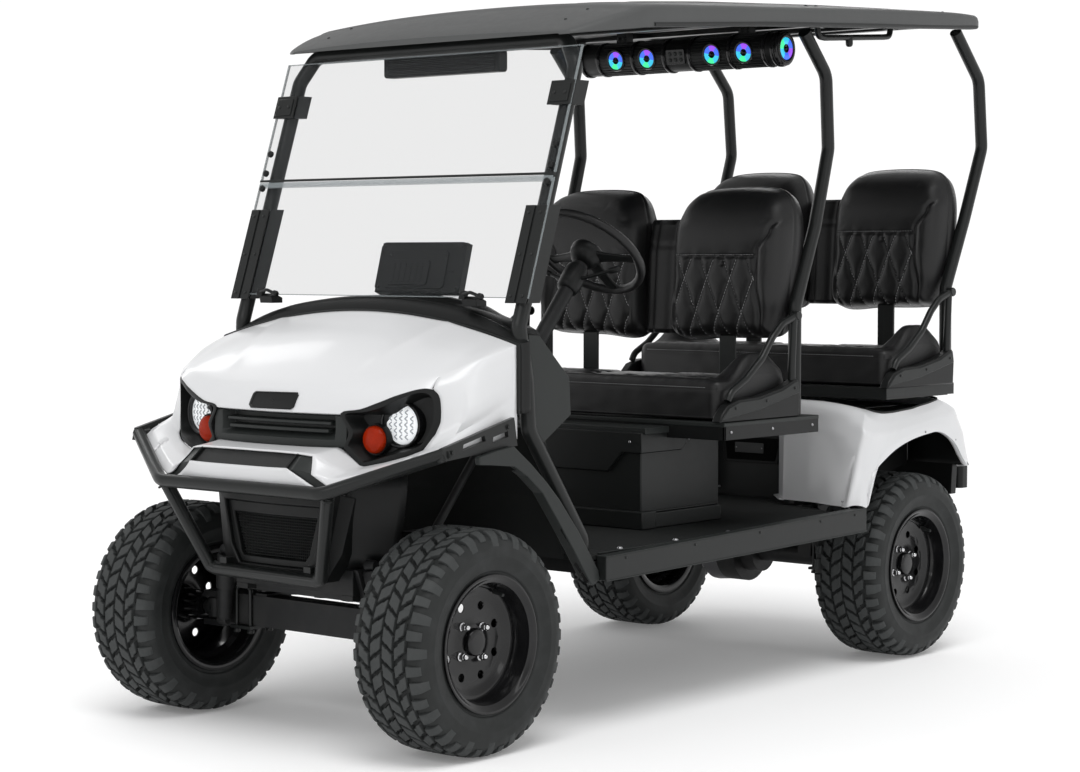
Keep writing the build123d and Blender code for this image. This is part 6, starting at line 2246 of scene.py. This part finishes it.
# headliner panel with cross bows under the shell
rows = []
for k in range(24):
    y = lerp(665, 2270, k / 23)
    _, hw, zb, zs, zc = roof_at(y)
    rows.append([Vector((x, y, lerp(zb + 34, zb + 20, (abs(x) / 556) ** 2))) for x in (-548, -400, -200, 0, 200, 400, 548)])
HL.grid(rows)
HL.make("roof_headliner", M["black"], smooth=60)
BW = Shape()
for y in (760, 1190, 1620, 2010, 2240):
    _, hw, zb, zs, zc = roof_at(y)
    BW.box(-540, 540, y - 14, y + 14, zb + 14, zb + 30)
BW.make("roof_bows", M["steel"], bevel=3)

HB = Shape()
# slim storage rail hung under the left and right roof edge, with an end knob
for sx in (-1, 1):
    HB.tube([(sx * 450, 1600, 1885), (sx * 450, 1604, 1858), (sx * 450, 1640, 1856), (sx * 450, 1960, 1880), (sx * 450, 1992, 1884), (sx * 450, 1998, 1906)], 9, 20, 14)
    HB.turned((sx * 450, 1770, 1866), (0, 0.06, -1), [(-6, 10), (6, 11), (20, 11), (26, 8.5), (28, 4)], 20)
    for y in (1600, 1998):
        HB.box(sx * 432, sx * 468, y - 14, y + 14, 1882 if y < 1700 else 1904, 1890 if y < 1700 else 1912)
HB.make("roof_handholds", M["steel"], smooth=45)
RBs = Shape()
for sx in (-1, 1):
    for y in (1506, 2262):
        for dy in (-26, 26):
            RBs.dome_bolt((sx * 490, y + dy, shell_top(490, y + dy) - 0.6), (0, 0, 1), 6)
    for y in (470, 560):
        RBs.dome_bolt((sx * 430, y, shell_top(430, y) - 0.6), (0, -0.3, 1), 5)
RBs.make("roof_bolts", M["steel"], smooth=50)

# ---- sound bar: collars, mesh drums, lit rings with black cones ---------------------------------------
BC = (1556.0, 1824.0)
AXF = Vector((0, -0.985, -0.17)).normalized()
SBR = Shape()
for x in (-366, -300, -166, -46, 50, 196, 320, 352):
    SBR.ring_of((x, BC[0], BC[1]), (1, 0, 0), [(-5, 47), (-5, 51.5), (-3, 53), (6, 53), (8, 51.5), (8, 47)], n=56)
for sx in (-1, 1):
    SBR.turned((sx * 366, BC[0], BC[1]), (sx, 0, 0), [(-4, 50), (3, 50), (6, 46), (6, 41), (3.5, 40)], 56)
SBR.make("sound_bar_collars", M["gloss"], smooth=45)
GR = Shape()
# fine ribs along the drum between the collars
for k in range(30):
    a = 2 * math.pi * k / 30
    y, z = BC[0] + 49.6 * math.cos(a), BC[1] + 49.6 * math.sin(a)
    for x0, x1 in ((-292, -174), (-158, -54), (58, 188), (204, 312)):
        t = Vector((0, -math.sin(a), math.cos(a)))
        n = Vector((0, math.cos(a), math.sin(a)))
        c = Vector((0, y, z))
        GR.rings([[Vector((x, 0, 0)) + c + t * u + n * h for u, h in ((-2.0, -1.5), (2.0, -1.5), (1.2, 1.2), (-1.2, 1.2))] for x in (x0, x1)])
GR.make("sound_bar_ribs", M["black"], smooth=40)
SEG = 24
HUES = ("led_green", "led_cyan", "led_blue", "led_violet", "led_blue", "led_cyan")


def lit_ring(name, c, ax, r, turn, core):
    o, a = Vector(c), Vector(ax).normalized()
    u = Vector((0, 0, 1)) if abs(a.z) < 0.9 else Vector((1, 0, 0))
    u = (u - a * u.dot(a)).normalized()
    w = a.cross(u)
    R = Shape()
    prof = [(0.0, r * 0.36), (3.0, r * 0.40), (4.2, r * 0.70), (3.5, r * 0.98), (0.0, r)]
    for s in range(len(HUES)):
        rows = []
        for k in range(SEG // len(HUES) + 1):
            t = 2 * math.pi * (s / len(HUES) + k / SEG) + turn
            d = u * math.cos(t) + w * math.sin(t)
            rows.append([o + a * h + d * q for h, q in prof])
        R.grid(rows, s)
    R.make(name, [M[h] for h in HUES], smooth=60)
    K = Shape()
    K.turned(o, a, [(-3, r * 0.40), (3.6, r * 0.39), (4.6, r * 0.34), (2.0, r * 0.24), (1.0, r * 0.16), (3.0, r * 0.14), (4.4, r * 0.06)], 36)
    K.ring_of(o, a, [(-4, r * 1.0), (4.0, r * 1.0), (6.0, r * 1.06), (6.0, r * 1.18), (3.0, r * 1.24), (-4, r * 1.24)], n=48)
    K.make(name + "_cone", M["gloss"], smooth=50)


for i, x in enumerate((-227, -107, 137, 253)):
    base = Vector((x, BC[0], BC[1])) + AXF * 47.5
    lit_ring("speaker_ring_%d" % (i + 1), base, AXF, 27, 2.4, None)
for sx, tag in ((1, "left"), (-1, "right")):
    lit_ring("speaker_end_" + tag, (sx * 368.5, BC[0], BC[1]), (sx, 0, 0), 33, 0.6, None)
CP = Shape()
c0 = Vector((3, BC[0], BC[1])) + AXF * 50.5
s = Vector((0, -0.17, 0.985))
CP.rings([[c0 + Vector((x, 0, 0)) + s * z + AXF * h for x, z in ((-32, -22), (32, -22), (34, -20), (34, 20), (32, 22), (-32, 22), (-34, 20), (-34, -20))] for h in (-4, 2)])
for k in range(6):
    q = c0 + Vector((-20 + 20 * (k % 3), 0, 0)) + s * (9 if k < 3 else -9)
    CP.turned(q, AXF, [(1, 6.5), (4, 6.5), (5, 5.0)], 20, mat=1)
CP.make("sound_bar_controls", [M["gloss"], M["grey"]], bevel=0.6, smooth=45)
HG = Shape()
for sx in (-1, 1):
    HG.box(sx * 212, sx * 248, 1538, 1574, 1862, 1868)
    for x in (220, 240):
        HG.bolt((sx * x, 1540, 1885), (0, -1, 0), 5)
HG.make("sound_bar_hangers", M["steel"], bevel=1)


# ---- running gear details: spring clips, shock absorbers, motor fins, cables, battery tops ------------
RAIL = 250.0
for nm, ya, f, r in (("front", 0.0, 90, 180), ("rear", 1972.0, 250, 250)):
    U = Shape()
    for sx in (-1, 1):
        xs0 = sx * (RAIL if nm == "front" else RAIL)
        for dy in (-34, 34):
            U.tube([(xs0 - 26, ya + dy, 236), (xs0 - 26, ya + dy, 352), (xs0 + 26, ya + dy, 352), (xs0 + 26, ya + dy, 236)], 5.5, 14, 12)
            for dx in (-26, 26):
                U.hexagon((xs0 + dx, ya + dy, 236), (0, 0, -1), 9.5, 8)
        U.box(xs0 - 38, xs0 + 38, ya - 48, ya + 48, 240, 248)
    U.make("spring_clips_" + nm, M["steel"], smooth=45)
SH = Shape()
for nm, ya in (("front", 0.0), ("rear", 1972.0)):
    for sx in (-1, 1):
        lo = Vector((sx * 300, ya - 58 if nm == "front" else ya - 74, 262))
        hi = Vector((sx * 262, ya - 80 if nm == "front" else ya - 128, 470 if nm == "rear" else 452))
        d = (hi - lo).normalized()
        ln = (hi - lo).length
        SH.turned(lo, d, [(0, 8), (4, 17), (8, 20), (ln * 0.52, 20), (ln * 0.54, 18.5)], 28)
        SH.turned(lo + d * (ln * 0.46), d, [(0, 24), (3, 25), (ln * 0.46, 25), (ln * 0.48, 22)], 28)
        SH.turned(lo + d * (ln * 0.5), d, [(0, 7), (ln * 0.5, 7)], 16)
        for p in (lo, hi):
            SH.turned(p - Vector((16, 0, 0)), (1, 0, 0), [(0, 12), (4, 14), (28, 14), (32, 12)], 24)
SH.make("shock_absorbers", M["under"], smooth=45)
MF = Shape()
for k in range(9):
    x = -132 + k * 24
    MF.ring_of((x, 1972 + 118, 319.5), (1, 0, 0), [(-2.2, 60), (-2.2, 64.4), (2.2, 64.4), (2.2, 60)], n=48)
MF.turned((80, 2090, 319.5), (1, 0, 0), [(-2, 60), (6, 58), (9, 46), (10, 20), (22, 18), (22, 8)], 40)
for k in range(8):
    a = 2 * math.pi * k / 8
    MF.hexagon((-40 if False else -165, 1972 + 84 * math.cos(a), 279.5 + 84 * math.sin(a)), (-1, 0, 0), 7, 6)
MF.make("motor_fins", M["metal_cast"], smooth=40)
DC = Shape()
DC.turned((-168, 1972, 279.5), (1, 0, 0), [(0, 60), (3, 92), (6, 103), (18, 104), (60, 100), (96, 92), (120, 72), (128, 50)], 56)
for k in range(10):
    a = 2 * math.pi * k / 10
    DC.hexagon((-168, 1972 + 92 * math.cos(a), 279.5 + 92 * math.sin(a)), (-1, 0, 0), 7, 7)
DC.turned((-102, 1972 + 40, 372), (0, 0.2, 1), [(-12, 12), (4, 12), (8, 9)], 20)
DC.make("differential_cover", M["metal_cast"], smooth=36)
CB = Shape()
for sx in (-1, 1):
    CB.tube([(sx * 318, 1950, 330), (sx * 290, 1880, 372), (sx * 200, 1760, 402), (sx * 190, 1500, 410), (sx * 180, 1100, 412)], 5.0, 60, 10)
# motor leads run beside the open bays and under the cross members
for x, z in ((205, 352), (182, 352)):
    CB.tube([(98, 2070 + (x - 182), 335), (150, 2066 + (x - 182), 336), (x, 2010, 345), (x, 1900, z), (x, 1400, z), (x, 1335, 385), (x, 1300, 432)], 9.0, 30, 12)
CB.make("under_cables", M["rubber"], smooth=60)
FB = Shape()
for sx in (-1, 1):
    for y in (560, 760, 960, 1160, 1360, 1560, 1750):
        FB.bolt((sx * (RAIL + 24), y, 400), (sx, 0, 0), 6)
FB.make("frame_bolts", M["steel"], smooth=40)
# battery pack: row of caps and cable posts on each block
BT = Shape()
for bx in (-160, 0, 160):
    for by in (1050, 1200):
        BT.box(bx - 74, bx + 74, by - 68, by + 68, 690, 700)
        for k in (-1, 0, 1):
            BT.turned((bx + k * 34, by - 20, 700), (0, 0, 1), [(0, 12), (5, 12), (6, 9)], 20)
        for k in (-1, 1):
            BT.turned((bx + k * 52, by + 44, 700), (0, 0, 1), [(0, 8), (9, 7)], 16, mat=1)
BT.make("battery_tops", [M["battery"], M["zinc"]], bevel=1.5)
BWs = Shape()
for a, b in (((-108, 1094), (-52, 1094)), ((52, 1094), (108, 1094)), ((-108, 1244), (-52, 1244)), ((52, 1244), (108, 1244)), ((-212, 1094), (-212, 1244)), ((212, 1094), (212, 1244))):
    BWs.tube([(a[0], a[1], 706), ((a[0] + b[0]) / 2, (a[1] + b[1]) / 2, 722), (b[0], b[1], 706)], 5, 20, 10)
BWs.make("battery_leads", M["rubber"], smooth=60)
# column boot
BOOT = Shape()
BOOT.turned((280, 395, 640), (0, 0.66, 0.75), [(-30, 40), (-18, 40), (-10, 34), (0, 37), (8, 30), (18, 33), (26, 26), (36, 28), (44, 22)], 36)
BOOT.make("column_boot", M["rubber"], smooth=30)

# skid plate and cross braces under the nose
SKD = Shape()
SKD.px([(-92, 438), (-62, 352), (120, 332), (300, 332), (300, 342), (122, 342), (-56, 361), (-84, 440)], -226, 226)
for x in (-150, -50, 50, 150):
    SKD.px([(-60, 350), (118, 330), (296, 330), (296, 333), (118, 333), (-58, 354)], x - 12, x + 12)
SKD.make("front_skid_plate", M["under"], bevel=1.5)

# ---- hip restraints: bent rail, upright and moulded foot on each side of both benches --------------
HR, HT = Shape(), Shape()
for dy, dz in ((0, 0), (858, 58)):
    for sx in (-1, 1):
        x = sx * 503
        HR.tube([(x, 1086 + dy, 815 + dz), (x, 1100 + dy, 838 + dz), (x, 1172 + dy, 872 + dz), (x, 1248 + dy, 926 + dz), (x, 1302 + dy, 987 + dz), (x, 1350 + dy, 1024 + dz), (x, 1420 + dy, 1046 + dz)], 10.5, 60, 16)
        HR.tube([(x, 1400 + dy, 800 + dz), (x, 1400 + dy, 900 + dz), (x, 1408 + dy, 1040 + dz)], 11.5, 60, 16)
        HR.turned((x - 13, 1420 + dy, 1046 + dz), (1, 0, 0), [(0, 12), (3, 14), (23, 14), (26, 12)], 24)
        a, b = sorted((sx * 488, sx * 519))
        HT.px([(1030 + dy, 758 + dz), (1416 + dy, 758 + dz), (1420 + dy, 828 + dz), (1408 + dy, 868 + dz), (1330 + dy, 842 + dz), (1216 + dy, 822 + dz), (1120 + dy, 818 + dz), (1069 + dy, 804 + dz), (1040 + dy, 778 + dz)], a, b)
HR.make("hip_rails", M["steel"], stands_for="hip_restraints", smooth=50)
HT.make("hip_rail_feet", M["black"], bevel=5, seg=3)
HC = Shape()
for dy, dz in ((0, 0), (858, 58)):
    for sx in (-1, 1):
        a, b = sorted((sx * 517, sx * 522))
        # raised lip along the foot
        HC.px([(1034 + dy, 764 + dz), (1216 + dy, 786 + dz), (1414 + dy, 826 + dz), (1406 + dy, 862 + dz), (1330 + dy, 836 + dz), (1216 + dy, 816 + dz), (1120 + dy, 812 + dz), (1072 + dy, 798 + dz)], a, b)
HC.make("hip_foot_panels", M["pedestal"], bevel=2.2, seg=3)
HB2 = Shape()
for dy, dz in ((0, 0), (858, 58)):
    for sx in (-1, 1):
        for y, z in ((1100, 796), (1250, 810), (1390, 840)):
            HB2.dome_bolt((sx * 522, y + dy, z + dz), (sx, 0, 0), 4.5)
HB2.make("hip_foot_bolts", M["steel"], smooth=50)
